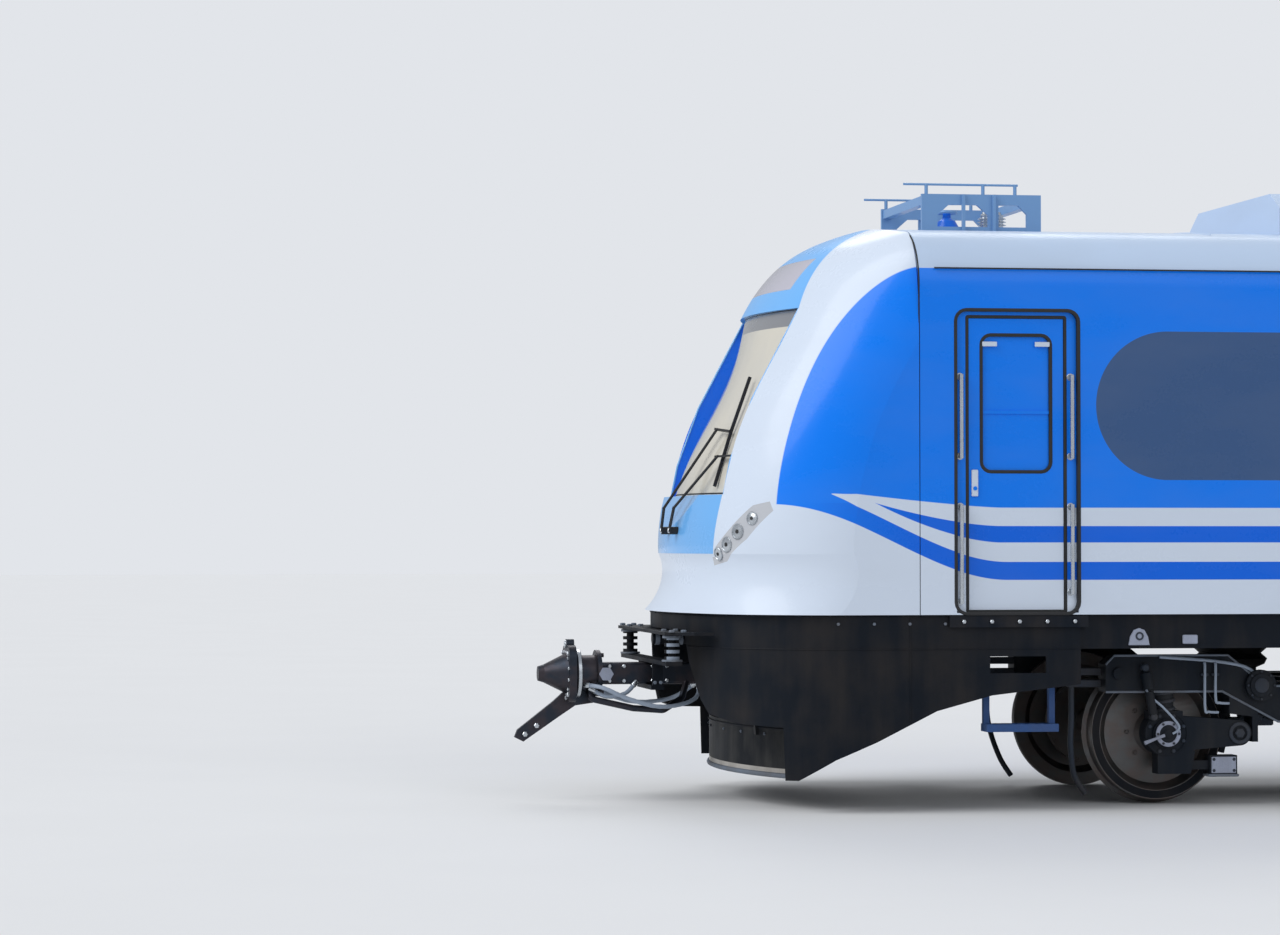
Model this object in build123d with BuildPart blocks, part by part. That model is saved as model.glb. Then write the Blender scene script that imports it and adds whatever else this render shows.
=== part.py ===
from build123d import *
from math import cos, radians, sin, sqrt
import os

os.makedirs("parts", exist_ok=True)

# Driving motor car of an electric multiple-unit passenger train, in millimetres.
# +Z is up, the wheel flanges touch Z = 0, and the cab end looks towards -X.
# Places along the car are measured back from the lip of the nose.

# Overall sizes
BODY_LENGTH = 23600.0  # lip of the nose to the rear wall
HORN_REACH = 950.0  # coupler guide horn ahead of the lip
REAR_REACH = 450.0  # rear coupler behind the rear wall
LIP_X = HORN_REACH - (HORN_REACH + BODY_LENGTH + REAR_REACH) / 2
REAR_X = LIP_X + BODY_LENGTH
SEAT_GAP = 0.3  # between pieces that are seated on each other

# Cross section of the body
HALF_WIDTH = 1550.0
WALL = 120.0
SILL_Z = 1294.0
FLOOR_RISE = 24.0
FLOOR_Z = SILL_Z + FLOOR_RISE
CANT_Z = 3448.0  # the side turns into the cant arc here
CANT_RADIUS = 380.0
GUTTER_Z = 3561.0  # side panels below, roof above
ROOF_Z = 3913.0

# Nose, as a plan curve pushed back along a profile
CAB_LENGTH = 1497.0  # lip to the joint with the body
JOINT_GAP = 6.0
FACE_RADIUS = 2470.0
CORNER_LENGTH = 1050.0
SHELL = 265.0  # shell at the nose, with the screen's recess
PLAN_SPARE = 4.0  # plan wider than the body, so that its corners run out into the flank
CHIN_TOP = (396.0, 97.0)
CHIN = [(0.0, 0.0), (122.0, 88.0), (259.0, 124.0), CHIN_TOP]  # height over the sill, set back
FACE = [  # height over the sill, set back from the lip
    CHIN_TOP,
    (686.0, 115.0),
    (1022.0, 185.0),
    (1434.0, 340.0),
    (1844.0, 560.0),
    (2177.0, 740.0),
    (2366.0, 892.0),
    (2494.0, 1060.0),
    (2579.0, 1250.0),
    (2644.0, 1480.0),
    (2689.0, 1720.0),
]

# Openings in the nose
PANEL_HALF_LOW = 885.0
PANEL_HALF_HIGH = 930.0
PANEL_LOW = SILL_Z + CHIN_TOP[0]
SCREEN_LOW = 2085.0
PANEL_HIGH = SCREEN_LOW
PANEL_BACK = 115.0
SHELF_FRONT = (112.0, 1880.0)  # shelf on top of the panel: place back from the lip, height
SHELF_REAR = (215.0, SCREEN_LOW)
SCREEN_HIGH = 3336.0
SCREEN_HALF_LOW = 935.0
SCREEN_HALF_HIGH = 915.0
SIGN_LOW = 3478.0
SIGN_HIGH = 3690.0
SIGN_HALF = 620.0
BAND_HALF_LOW = 915.0  # roof band between the ribs
BAND_HALF_HIGH = 640.0
BAND_DEPTH = 25.0
SCREEN_DEPTH = [  # height over the sill, glass behind the white ribs
    (0.0, 80.0),
    (686.0, 80.0),
    (1022.0, 120.0),
    (1434.0, 178.0),
    (1844.0, 120.0),
    (2177.0, 35.0),
    (2700.0, 35.0),
]
GLASS = 12.0
FRAME_EDGE = 50.0  # ledge round the glass
PLATE = 25.0
LAMP_DEPTH = 45.0
LAMP = [  # outline of a lamp cluster: distance in from the flank, height
    (692.0, 1612.0),
    (540.0, 1640.0),
    (350.0, 1790.0),
    (215.0, 1975.0),
    (240.0, 2035.0),
    (335.0, 2010.0),
    (500.0, 1850.0),
    (635.0, 1735.0),
    (650.0, 1672.0),
    (688.0, 1668.0),
]

# Crew doors, one on each side of the cab
CREW_FRONT = 1830.0
CREW_WIDTH = 654.0
CREW_TOP = 3241.0
CREW_CORNER = 70.0
CREW_NICHE = 30.0  # depth of the niche round the leaf
CREW_NICHE_EDGE = 84.0
CREW_LEAF = 40.0
CREW_GAP = 8.0
KNUCKLE = 6.0  # radius of the crew door hinge
CREW_WINDOW = (460.0, 887.0, 60.0)  # width, height, corner radius
CREW_WINDOW_LOW = 2234.0
CREW_WINDOW_BAR = 2620.0
RAIL_RADIUS = 14.0
RAIL_STAND = 42.0  # handrail axis in front of the niche
RAIL_PLACES = [  # place back from the lip, bottom, top
    (1777.0, 2316.0, 2866.0),
    (1777.0, 1366.0, 2016.0),
    (2524.0, 2316.0, 2866.0),
    (2524.0, 1426.0, 2016.0),
]

# Passenger doorways, each with two pocket leaves
FIRST_DOORWAY = 5650.0  # front edge, back from the lip
DOORWAY_WIDTH = 1300.0
REAR_BAY = 4050.0  # last doorway to the rear wall
DOORWAY_PITCH = (BODY_LENGTH - FIRST_DOORWAY - DOORWAY_WIDTH - REAR_BAY) / 2
DOORWAYS = [FIRST_DOORWAY + index * DOORWAY_PITCH for index in range(3)]
BAY = DOORWAY_PITCH - DOORWAY_WIDTH  # between two doorways
DOOR_TOP = 3241.0
LEAF = 36.0
POCKET_GAP = 7.0
OUTER_SKIN = 28.0
POCKET_EXTRA = 20.0  # pocket deeper than the leaf's travel
LEAF_LAP = 30.0  # leaf kept inside the pocket when shut
LEAF_MEET = 6.0  # between the two shut leaves
HEAD_ROOM = 60.0
LEAF_WINDOW = (340.0, 800.0, 60.0)  # width, height, corner radius

# Side windows: one ahead of the doorways, two in each bay and one behind
WINDOW_EDGE = 850.0  # doorway to the next window, which leaves room for the pocket
WINDOW_PIER = 500.0
WINDOW_WIDTH = (BAY - 2 * WINDOW_EDGE - WINDOW_PIER) / 2
REAR_WINDOW = 1400.0
WINDOWS = [(4200.0, 620.0)]  # front edge back from the lip, width
for doorway in DOORWAYS[:-1]:
    first_window = doorway + DOORWAY_WIDTH + WINDOW_EDGE
    WINDOWS.append((first_window, WINDOW_WIDTH))
    WINDOWS.append((first_window + WINDOW_WIDTH + WINDOW_PIER, WINDOW_WIDTH))
WINDOWS.append((DOORWAYS[-1] + DOORWAY_WIDTH + 950, REAR_WINDOW))
WINDOW_LOW = 2218.0
WINDOW_HEIGHT = 870.0
WINDOW_CORNER = 90.0
PANE_SET = 4.0  # pane behind the skin

# Underframe and skirt
FRAME_BOTTOM = 1068.0
FRAME_HALF = HALF_WIDTH - 50
FRAME_FRONT = 450.0  # front of the narrow part below the cab
FRAME_NOSE_HALF = 1080.0
SKIRT_SET = 40.0  # skirt behind the lip
SKIRT_WALL = 20.0
SKIRT_HALF = HALF_WIDTH - 30
SKIRT_END = 2590.0
COUPLER_BAY = [  # half width and height of the opening in front, from the top down
    (610.0, 1178.0),
    (680.0, 970.0),
    (835.0, 720.0),
    (930.0, 630.0),
    (1195.0, 575.0),
    (1395.0, 560.0),
    (1405.0, 0.0),
]
SKIRT_EDGE = [  # place back from the lip, height of the lower edge
    (715.0, 215.0),
    (950.0, 352.0),
    (1220.0, 466.0),
    (1620.0, 666.0),
    (1990.0, 766.0),
    (SKIRT_END, 836.0),
]
DEFLECTOR_SET = 460.0
DEFLECTOR_LOW = 205.0
DEFLECTOR_HIGH = 556.0
DEFLECTOR_WALL = 25.0
DEFLECTOR_LENGTH = 330.0

# Running gear
WHEEL_RADIUS = 457.5
FLANGE = 28.0
AXLE_Z = WHEEL_RADIUS + FLANGE
AXLE_RADIUS = 90.0
JOURNAL_RADIUS = 70.0
JOURNAL_HALF = 1160.0
BACK_TO_BACK = 1600.0
WHEEL_WIDTH = 135.0
WHEELBASE = 2500.0
FRONT_AXLE = 3300.0
BOGIE_PITCH = BODY_LENGTH - 7900  # keeps the rear bogie's place before the rear wall
BEAM_Y = 1065.0
BEAM_WIDTH = 160.0
BEAM_TOP = 1009.0
BEAM_LOW = 766.0
BEAM_OVERHANG = 420.0
BEAM_SEAT = 800.0  # top of the beam's dropped middle
BEAM_BELLY = 560.0
TRANSOM = 160.0
TRANSOM_X = 330.0
TRANSOM_Z = 680.0
MOTOR_RADIUS = 270.0
MOTOR_OFFSET = 430.0  # motor axis behind its axle
BOX_RADIUS = 150.0
CAP = 35.0  # axle box cap outside the box
ARM_LENGTH = 510.0
ARM_RADIUS = 85.0

# Coupler
COUPLER_Z = 865.0
COUPLER_PIVOT = 600.0
COUPLER_TIP = 788.0  # cone tip ahead of the lip
COUPLER_FACE = 590.0  # face plate ahead of the lip
SHANK = 150.0
CARRIER_TOP = 1170.0
CARRIER_PLATE = 20.0
CARRIER_HALF = 870.0
CARRIER_EDGE = [  # half outline of the carrier plate: place back from the lip, Y
    (-70.0, 900.0),
    (100.0, 1050.0),
    (235.0, 1050.0),
    (100.0, 640.0),
    (100.0, 590.0),
    (FRAME_FRONT, 590.0),
]
SPRING_Y = 800.0
SPRING_RADIUS = 52.0
SPRING_WIRE = 11.0
SPRING_TURNS = 4

# Roof equipment
CRADLE_FRONT = 1780.0
CRADLE_LENGTH = 840.0
CRADLE_Y = 550.0
CRADLE_TOP = 4146.0
CRADLE_PLATE = 30.0
ROOF_UNITS = [4200.0, BODY_LENGTH / 2 + 200, BODY_LENGTH - 5100]  # front edges
ROOF_UNIT = (3200.0, 900.0, 250.0)  # length, half width, height above the roof
GANGWAY_HALF = 500.0
GANGWAY_TOP = 3388.0
GANGWAY_RIM = 130.0
GANGWAY_REACH = 315.0
BULKHEAD_X = 2700.0
BULKHEAD = 60.0

SIDES = [("left", 1), ("right", -1)]  # name, sign of Y
BOGIES = [  # name, centre back from the lip
    ("front", FRONT_AXLE + WHEELBASE / 2),
    ("rear", FRONT_AXLE + WHEELBASE / 2 + BOGIE_PITCH),
]


def plan_face(back, half, rear):
    """Plan of the nose: a shallow front arc, two corner arcs and a straight rear."""
    reach = FACE_RADIUS - CORNER_LENGTH
    corner = (FACE_RADIUS**2 - reach**2 - half**2) / (2 * (FACE_RADIUS - half))
    share = FACE_RADIUS / (FACE_RADIUS - corner)
    meet_x = LIP_X + back + FACE_RADIUS - reach * share
    meet_y = (half - corner) * share
    corner_x = LIP_X + back + CORNER_LENGTH
    corner_y = half - corner
    middle = corner / sqrt(2)
    rear_x = LIP_X + rear
    with BuildSketch() as plan:
        with BuildLine():
            ThreePointArc((meet_x, -meet_y), (LIP_X + back, 0), (meet_x, meet_y))
            ThreePointArc(
                (meet_x, meet_y), (corner_x - middle, corner_y + middle), (corner_x, half)
            )
            Polyline((corner_x, half), (rear_x, half), (rear_x, -half), (corner_x, -half))
            ThreePointArc(
                (corner_x, -half), (corner_x - middle, -corner_y - middle), (meet_x, -meet_y)
            )
        make_face()
    return plan.sketch


def body_section(inset, bottom_z):
    """Cross section of the body in Y and Z, set in from the outer skin."""
    half = HALF_WIDTH - inset
    cant = CANT_RADIUS - inset
    top = ROOF_Z - inset
    cant_y = half - cant
    roof = (cant**2 - cant_y**2 - (CANT_Z - top) ** 2) / (2 * (cant + CANT_Z - top))
    share = roof / (roof - cant)
    meet_y = cant_y * share
    meet_z = top - roof + (CANT_Z - top + roof) * share
    middle = Vector(meet_y - cant_y + cant, meet_z - CANT_Z, 0).normalized() * cant
    arc_y = cant_y + middle.X
    arc_z = CANT_Z + middle.Y
    with BuildSketch() as section:
        with BuildLine():
            Polyline((-half, CANT_Z), (-half, bottom_z), (half, bottom_z), (half, CANT_Z))
            ThreePointArc((half, CANT_Z), (arc_y, arc_z), (meet_y, meet_z))
            ThreePointArc((meet_y, meet_z), (0, top), (-meet_y, meet_z))
            ThreePointArc((-meet_y, meet_z), (-arc_y, arc_z), (-half, CANT_Z))
        make_face()
    return section.sketch


def depth_at(depths, rise):
    """Depth at a height over the sill, read between the rows of a table."""
    for (low, low_depth), (high, high_depth) in zip(depths, depths[1:]):
        if low <= rise <= high:
            return low_depth + (high_depth - low_depth) * (rise - low) / (high - low)
    return 0.0


def nose_solid(back, inset=0.0, bottom=SILL_Z, depths=()):
    """Solid nose pushed back, further by a table of depths, and set in from sides and roof."""
    with BuildPart() as nose:
        for profile in (CHIN, FACE):
            for rise, set_back in profile:
                with BuildSketch(Plane.XY.offset(SILL_Z + rise)):
                    half = HALF_WIDTH - inset + PLAN_SPARE
                    place = set_back + back + depth_at(depths, rise)
                    add(plan_face(place, half, CAB_LENGTH + 2000))
            loft()
        with BuildSketch(Plane.YZ.offset(LIP_X)):
            add(body_section(inset, bottom))
        extrude(amount=CAB_LENGTH, mode=Mode.INTERSECT)
    return nose.part


def front_prism(outline):
    """Block through the nose with a front outline of Y and Z points."""
    with BuildPart() as prism:
        with BuildSketch(Plane.YZ.offset(LIP_X - 500)):
            with BuildLine():
                Polyline(*outline, close=True)
            make_face()
        extrude(amount=CAB_LENGTH + 1000)
    return prism.part


def trapezium(half_low, half_high, low, high, inset=0.0):
    """Front outline that narrows upwards, set in by an edge."""
    return [
        (-half_low + inset, low + inset),
        (half_low - inset, low + inset),
        (half_high - inset, high - inset),
        (-half_high + inset, high - inset),
    ]


def lamp_outline(sign):
    """Outline of a lamp cluster on one side."""
    return [(sign * (HALF_WIDTH - inward), z) for inward, z in LAMP]


def front_x(y, z, back=0.0):
    """Place of the nose surface at a Y and Z, pushed back."""
    set_back = depth_at(FACE, z - SILL_Z)
    return LIP_X + back + set_back + FACE_RADIUS - sqrt(FACE_RADIUS**2 - y**2)


def glass_x(y, z):
    """Place of the windscreen's surface at a Y and Z."""
    return front_x(y, z, depth_at(SCREEN_DEPTH, z - SILL_Z))


def rod(start, end, radius):
    """Round bar between two points."""
    line = Vector(*end) - Vector(*start)
    with BuildPart() as bar:
        with BuildSketch(Plane(origin=start, z_dir=line)):
            Circle(radius)
        extrude(amount=line.length)
    return bar.part


def flat_bar(start, end, width, thick):
    """Flat bar between two points, a little longer than their distance at both ends."""
    line = Vector(*end) - Vector(*start)
    across = Vector(0, 1, 0).cross(line)
    origin = Vector(*start) - line.normalized() * width / 2
    with BuildPart() as bar:
        with BuildSketch(Plane(origin=origin, z_dir=line, x_dir=across)):
            Rectangle(thick, width)
        extrude(amount=line.length + width)
    return bar.part


def side_plane(sign, y):
    """Upright plane along the car, a distance from the middle on one side."""
    return Plane.XZ.offset(-sign * y)


# Nose solids that the front pieces are cut from
nose_outer = nose_solid(0)
nose_band = nose_solid(BAND_DEPTH)
nose_sign = nose_solid(BAND_DEPTH + PLATE)
nose_lamp = nose_solid(LAMP_DEPTH)
nose_panel = nose_solid(PANEL_BACK)
nose_glass = nose_solid(0, depths=SCREEN_DEPTH)
nose_ledge = nose_solid(GLASS, depths=SCREEN_DEPTH)
nose_inner = nose_solid(SHELL, WALL, FLOOR_Z)

SCREEN = (SCREEN_HALF_LOW, SCREEN_HALF_HIGH, SCREEN_LOW, SCREEN_HIGH)
PANEL = (PANEL_HALF_LOW, PANEL_HALF_HIGH, PANEL_LOW, PANEL_HIGH)
SIGN = (SIGN_HALF, SIGN_HALF, SIGN_LOW, SIGN_HIGH)
BAND = (BAND_HALF_LOW, BAND_HALF_HIGH, SCREEN_HIGH - 5, ROOF_Z + 200)

# Cab shell with its recessed screen, sunken roof band and lamp pockets
with BuildPart() as cab_shell:
    add(nose_outer)
    add(nose_inner, mode=Mode.SUBTRACT)
    add(front_prism(trapezium(*BAND)) - nose_band, mode=Mode.SUBTRACT)
    add(front_prism(trapezium(*SCREEN)) - nose_ledge, mode=Mode.SUBTRACT)
    add(front_prism(trapezium(*SCREEN, FRAME_EDGE)), mode=Mode.SUBTRACT)
    add(front_prism(trapezium(*PANEL)) - nose_panel, mode=Mode.SUBTRACT)
    add(front_prism(trapezium(*SIGN)) - nose_sign, mode=Mode.SUBTRACT)
    for side, sign in SIDES:
        add(front_prism(lamp_outline(sign)) - nose_lamp, mode=Mode.SUBTRACT)
cab_shell.part.label = "cab_shell"
export_step(cab_shell.part, "parts/cab_shell.step")

# Windscreen
with BuildPart() as windscreen:
    add(nose_glass - nose_ledge)
    add(front_prism(trapezium(*SCREEN, SEAT_GAP)), mode=Mode.INTERSECT)
windscreen.part.label = "windscreen"
export_step(windscreen.part, "parts/windscreen.step")

# Panel below the windscreen, with a shelf that slopes back to the glass
with BuildPart() as front_panel:
    add(nose_outer - nose_panel)
    add(front_prism(trapezium(*PANEL, SEAT_GAP)), mode=Mode.INTERSECT)
    with BuildSketch(Plane.XZ.offset(-HALF_WIDTH)):
        with BuildLine():
            foot, head = [(LIP_X + place, z) for place, z in (SHELF_FRONT, SHELF_REAR)]
            run = (head[0] - foot[0]) / (head[1] - foot[1])
            Polyline(
                (foot[0] - 100 * run, foot[1] - 100),
                (head[0] + 100 * run, head[1] + 100),
                (LIP_X - 100, head[1] + 100),
                (LIP_X - 100, foot[1] - 100),
                close=True,
            )
        make_face()
    extrude(amount=2 * HALF_WIDTH, mode=Mode.SUBTRACT)
front_panel.part.label = "front_panel"
export_step(front_panel.part, "parts/front_panel.step")

# Sign glass above the windscreen
with BuildPart() as sign_glass:
    add(nose_band - nose_sign)
    add(front_prism(trapezium(*SIGN, SEAT_GAP)), mode=Mode.INTERSECT)
sign_glass.part.label = "sign_glass"
export_step(sign_glass.part, "parts/sign_glass.step")

# Lamp clusters, each a lens that fills its pocket
with BuildPart() as headlamps:
    for side, sign in SIDES:
        with BuildPart(mode=Mode.PRIVATE) as lens:
            add(nose_outer - nose_lamp)
            add(front_prism(lamp_outline(sign)), mode=Mode.INTERSECT)
        add(lens.part)
headlamps.part.label = "headlamps"
export_step(headlamps.part, "parts/headlamps.step")

# Wipers: on each head two parallel arms, a link at their ends and a blade on the glass
BLADE_STAND = 36.0
ARM_STAND = 64.0
ARM_PAIR = 34.0  # between the two arms
HEAD_RADIUS = 26.0
WIPERS = [  # head, elbow and end of the arm, foot and tip of the blade, all as Y and Z
    ((-150, 1846), (-175, 2000), (-400, 2535), (-690, 2150), (-500, 2880)),
    ((-340, 1846), (-400, 2000), (-640, 2345), (-840, 2150), (-745, 2545)),
]
with BuildPart() as wipers:
    for head, elbow, end, foot, tip in WIPERS:
        front = front_x(*head)
        add(rod((front - 62, *head), (front + 60, *head), HEAD_RADIUS) - nose_outer)
        middle = ((foot[0] + tip[0]) / 2, (foot[1] + tip[1]) / 2)
        for shift in (-ARM_PAIR / 2, ARM_PAIR / 2):
            stations = [
                (front - ARM_STAND, head[0] + shift, head[1]),
                (front_x(*elbow) - ARM_STAND, elbow[0] + shift, elbow[1]),
                (glass_x(*end) - ARM_STAND, end[0] + shift, end[1]),
            ]
            for start, stop in zip(stations, stations[1:]):
                add(flat_bar(start, stop, 14, 12))
        link = (glass_x(*end) - ARM_STAND, end[0] + ARM_PAIR / 2, end[1])
        add(flat_bar(link, (glass_x(*middle) - BLADE_STAND - 8, *middle), 24, 14))
        blade = [
            (glass_x(y, z) - BLADE_STAND, y, z) for y, z in (foot, middle, tip)
        ]
        for start, stop in zip(blade, blade[1:]):
            add(flat_bar(start, stop, 16, 22))
wipers.part.label = "wipers"
export_step(wipers.part, "parts/wipers.step")

# Side panels with door pockets, window openings and the crew door niche
POCKET_OUT = HALF_WIDTH - OUTER_SKIN
POCKET_IN = POCKET_OUT - LEAF - 2 * POCKET_GAP
LEAF_WIDTH = DOORWAY_WIDTH / 2
SIDE_START = CAB_LENGTH + JOINT_GAP
POCKET_LENGTH = DOORWAY_WIDTH + 2 * (LEAF_WIDTH + LEAF_LAP + POCKET_EXTRA)
CREW_MIDDLE = LIP_X + CREW_FRONT + CREW_WIDTH / 2
CREW_HEIGHT = CREW_TOP - FLOOR_Z
NICHE_LOW = FLOOR_Z - 12
LEAF_FACE = HALF_WIDTH - CREW_NICHE - 4
for side, sign in SIDES:
    with BuildPart() as wall:
        with BuildSketch(Plane.YZ.offset(LIP_X + SIDE_START)):
            add(body_section(0, SILL_Z))
            add(body_section(WALL, SILL_Z - 50), mode=Mode.SUBTRACT)
            with Locations((-sign * HALF_WIDTH, CANT_Z)):
                Rectangle(2 * HALF_WIDTH, 8000, mode=Mode.SUBTRACT)
            with Locations((0, GUTTER_Z + HALF_WIDTH)):
                Rectangle(4 * HALF_WIDTH, 2 * HALF_WIDTH, mode=Mode.SUBTRACT)
        extrude(amount=BODY_LENGTH - SIDE_START - WALL)
        with BuildSketch(side_plane(sign, HALF_WIDTH + WALL)):
            for front in DOORWAYS:
                with Locations((LIP_X + front + DOORWAY_WIDTH / 2, (FLOOR_Z + DOOR_TOP) / 2)):
                    Rectangle(DOORWAY_WIDTH, DOOR_TOP - FLOOR_Z)
            for front, width in WINDOWS:
                with Locations((LIP_X + front + width / 2, WINDOW_LOW + WINDOW_HEIGHT / 2)):
                    RectangleRounded(width, WINDOW_HEIGHT, WINDOW_CORNER)
            with Locations((CREW_MIDDLE, (FLOOR_Z + CREW_TOP) / 2)):
                Rectangle(CREW_WIDTH, CREW_HEIGHT)
        extrude(amount=sign * 3 * WALL, mode=Mode.SUBTRACT)
        with BuildSketch(side_plane(sign, HALF_WIDTH + 10)):
            width = CREW_WIDTH + 2 * CREW_NICHE_EDGE
            top = CREW_TOP + CREW_NICHE_EDGE / 2
            with Locations((CREW_MIDDLE, (NICHE_LOW + top) / 2)):
                RectangleRounded(width, top - NICHE_LOW, CREW_CORNER)
            with Locations((CREW_MIDDLE, NICHE_LOW + CREW_CORNER / 2)):
                Rectangle(width, CREW_CORNER)
        extrude(amount=sign * (CREW_NICHE + 10), mode=Mode.SUBTRACT)
        for front in DOORWAYS:
            middle = (
                LIP_X + front + DOORWAY_WIDTH / 2,
                sign * (POCKET_OUT + POCKET_IN) / 2,
                (FLOOR_Z + DOOR_TOP + HEAD_ROOM) / 2,
            )
            height = DOOR_TOP + HEAD_ROOM - FLOOR_Z
            with Locations(middle):
                Box(POCKET_LENGTH, POCKET_OUT - POCKET_IN, height, mode=Mode.SUBTRACT)
    wall.part.label = f"side_{side}"
    export_step(wall.part, f"parts/side_{side}.step")

    with BuildPart() as panes:
        with BuildSketch(side_plane(sign, HALF_WIDTH - PANE_SET)):
            for front, width in WINDOWS:
                with Locations((LIP_X + front + width / 2, WINDOW_LOW + WINDOW_HEIGHT / 2)):
                    RectangleRounded(
                        width - 2 * SEAT_GAP,
                        WINDOW_HEIGHT - 2 * SEAT_GAP,
                        WINDOW_CORNER - SEAT_GAP,
                    )
        extrude(amount=sign * GLASS)
    panes.part.label = f"window_glass_{side}"
    export_step(panes.part, f"parts/window_glass_{side}.step")

    # Crew door leaf, hinged at its rear inner edge, with a thin pane and a window bar
    with BuildPart() as crew:
        with BuildSketch(side_plane(sign, LEAF_FACE)):
            with Locations((CREW_MIDDLE, (CREW_TOP + FLOOR_Z) / 2)):
                Rectangle(CREW_WIDTH - 2 * CREW_GAP, CREW_HEIGHT - 2 * CREW_GAP)
        extrude(amount=sign * CREW_LEAF)
        window = (CREW_MIDDLE, CREW_WINDOW_LOW + CREW_WINDOW[1] / 2)
        for depth, way in ((LEAF_FACE, sign), (LEAF_FACE - CREW_LEAF, -sign)):
            with BuildSketch(side_plane(sign, depth)):
                with Locations(window):
                    RectangleRounded(*CREW_WINDOW)
            extrude(amount=way * (CREW_LEAF - GLASS) / 2, mode=Mode.SUBTRACT)
        with Locations((CREW_MIDDLE, sign * (LEAF_FACE - CREW_LEAF / 2), CREW_WINDOW_BAR)):
            Box(CREW_WINDOW[0] + 10, CREW_LEAF - 12, 22)
        lock_x = LIP_X + CREW_FRONT + 46
        with Locations((lock_x, sign * (LEAF_FACE + 4), 2155)):
            Box(40, 8, 170)
        with Locations(Location((lock_x, sign * (LEAF_FACE + 10), 2120), (90, 0, 0))):
            Cylinder(13, 20)
        hinge_x = LIP_X + CREW_FRONT + CREW_WIDTH - SEAT_GAP - KNUCKLE
        hinge_y = sign * (LEAF_FACE - CREW_LEAF)
        with Locations((hinge_x, hinge_y, FLOOR_Z + 300), (hinge_x, hinge_y, CREW_TOP - 300)):
            Cylinder(KNUCKLE, 160)
    crew.part.label = f"crew_door_{side}"
    export_step(crew.part, f"parts/crew_door_{side}.step")

# Sliding leaves, two in each doorway
for number, front in enumerate(DOORWAYS, 1):
    for side, sign in SIDES:
        for end, way in (("front", -1), ("rear", 1)):
            meeting = LIP_X + front + LEAF_WIDTH + way * LEAF_MEET / 2
            leaf_length = LEAF_WIDTH + LEAF_LAP - LEAF_MEET / 2
            middle_x = meeting + way * leaf_length / 2
            low = FLOOR_Z + POCKET_GAP
            high = DOOR_TOP + HEAD_ROOM / 2
            face_y = POCKET_OUT - POCKET_GAP
            with BuildPart() as leaf:
                with BuildSketch(side_plane(sign, face_y)):
                    with Locations((middle_x, (low + high) / 2)):
                        Rectangle(leaf_length, high - low)
                extrude(amount=sign * LEAF)
                window = (
                    LIP_X + front + LEAF_WIDTH * (1 + way / 2),
                    WINDOW_LOW + WINDOW_HEIGHT / 2,
                )
                for depth, turn in ((face_y, sign), (face_y - LEAF, -sign)):
                    with BuildSketch(side_plane(sign, depth)):
                        with Locations(window):
                            RectangleRounded(*LEAF_WINDOW)
                    extrude(amount=turn * (LEAF - GLASS) / 2, mode=Mode.SUBTRACT)
                hang = DOOR_TOP + HEAD_ROOM - SEAT_GAP - high
                hang_y = sign * (face_y - LEAF / 2)
                for shift in (-220, 220):
                    with Locations((middle_x + shift, hang_y, high + hang / 2)):
                        Box(80, 20, hang)
            leaf.part.label = f"door_{number}_{side}_{end}"
            export_step(leaf.part, f"parts/door_{number}_{side}_{end}.step")

# Roof
with BuildPart() as roof:
    with BuildSketch(Plane.YZ.offset(LIP_X + SIDE_START)):
        add(body_section(0, SILL_Z))
        add(body_section(WALL, SILL_Z - 50), mode=Mode.SUBTRACT)
        with Locations((0, GUTTER_Z - 4 * HALF_WIDTH)):
            Rectangle(4 * HALF_WIDTH, 8 * HALF_WIDTH, mode=Mode.SUBTRACT)
    extrude(amount=BODY_LENGTH - SIDE_START)
roof.part.label = "roof"
export_step(roof.part, "parts/roof.step")

# Rear wall
GANGWAY_MIDDLE = (FLOOR_Z + GANGWAY_TOP) / 2
GANGWAY_HEIGHT = GANGWAY_TOP - FLOOR_Z
with BuildPart() as rear_wall:
    with BuildSketch(Plane.YZ.offset(REAR_X - WALL)):
        add(body_section(0, SILL_Z))
        with Locations((0, GUTTER_Z + 4 * HALF_WIDTH)):
            Rectangle(4 * HALF_WIDTH, 8 * HALF_WIDTH, mode=Mode.SUBTRACT)
        with Locations((0, GANGWAY_MIDDLE)):
            Rectangle(2 * GANGWAY_HALF, GANGWAY_HEIGHT, mode=Mode.SUBTRACT)
    extrude(amount=WALL)
rear_wall.part.label = "rear_wall"
export_step(rear_wall.part, "parts/rear_wall.step")

# Gangway bellows: an end frame and folds of two sizes in turn
FOLDS = 6
END_FRAME = 45.0
FOLD = (GANGWAY_REACH - 2 * END_FRAME) / (2 * FOLDS - 1)
with BuildPart() as gangway:
    place = REAR_X
    for index in range(2 * FOLDS + 1):
        thick = END_FRAME if index in (0, 2 * FOLDS) else FOLD
        rim = GANGWAY_RIM - (35 if index % 2 else 0)
        with BuildSketch(Plane.YZ.offset(place)):
            with Locations((0, GANGWAY_MIDDLE)):
                RectangleRounded(2 * (GANGWAY_HALF + rim), GANGWAY_HEIGHT + 2 * rim, 60)
                Rectangle(2 * GANGWAY_HALF, GANGWAY_HEIGHT, mode=Mode.SUBTRACT)
        extrude(amount=thick)
        place += thick
gangway.part.label = "gangway"
export_step(gangway.part, "parts/gangway.step")

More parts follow.
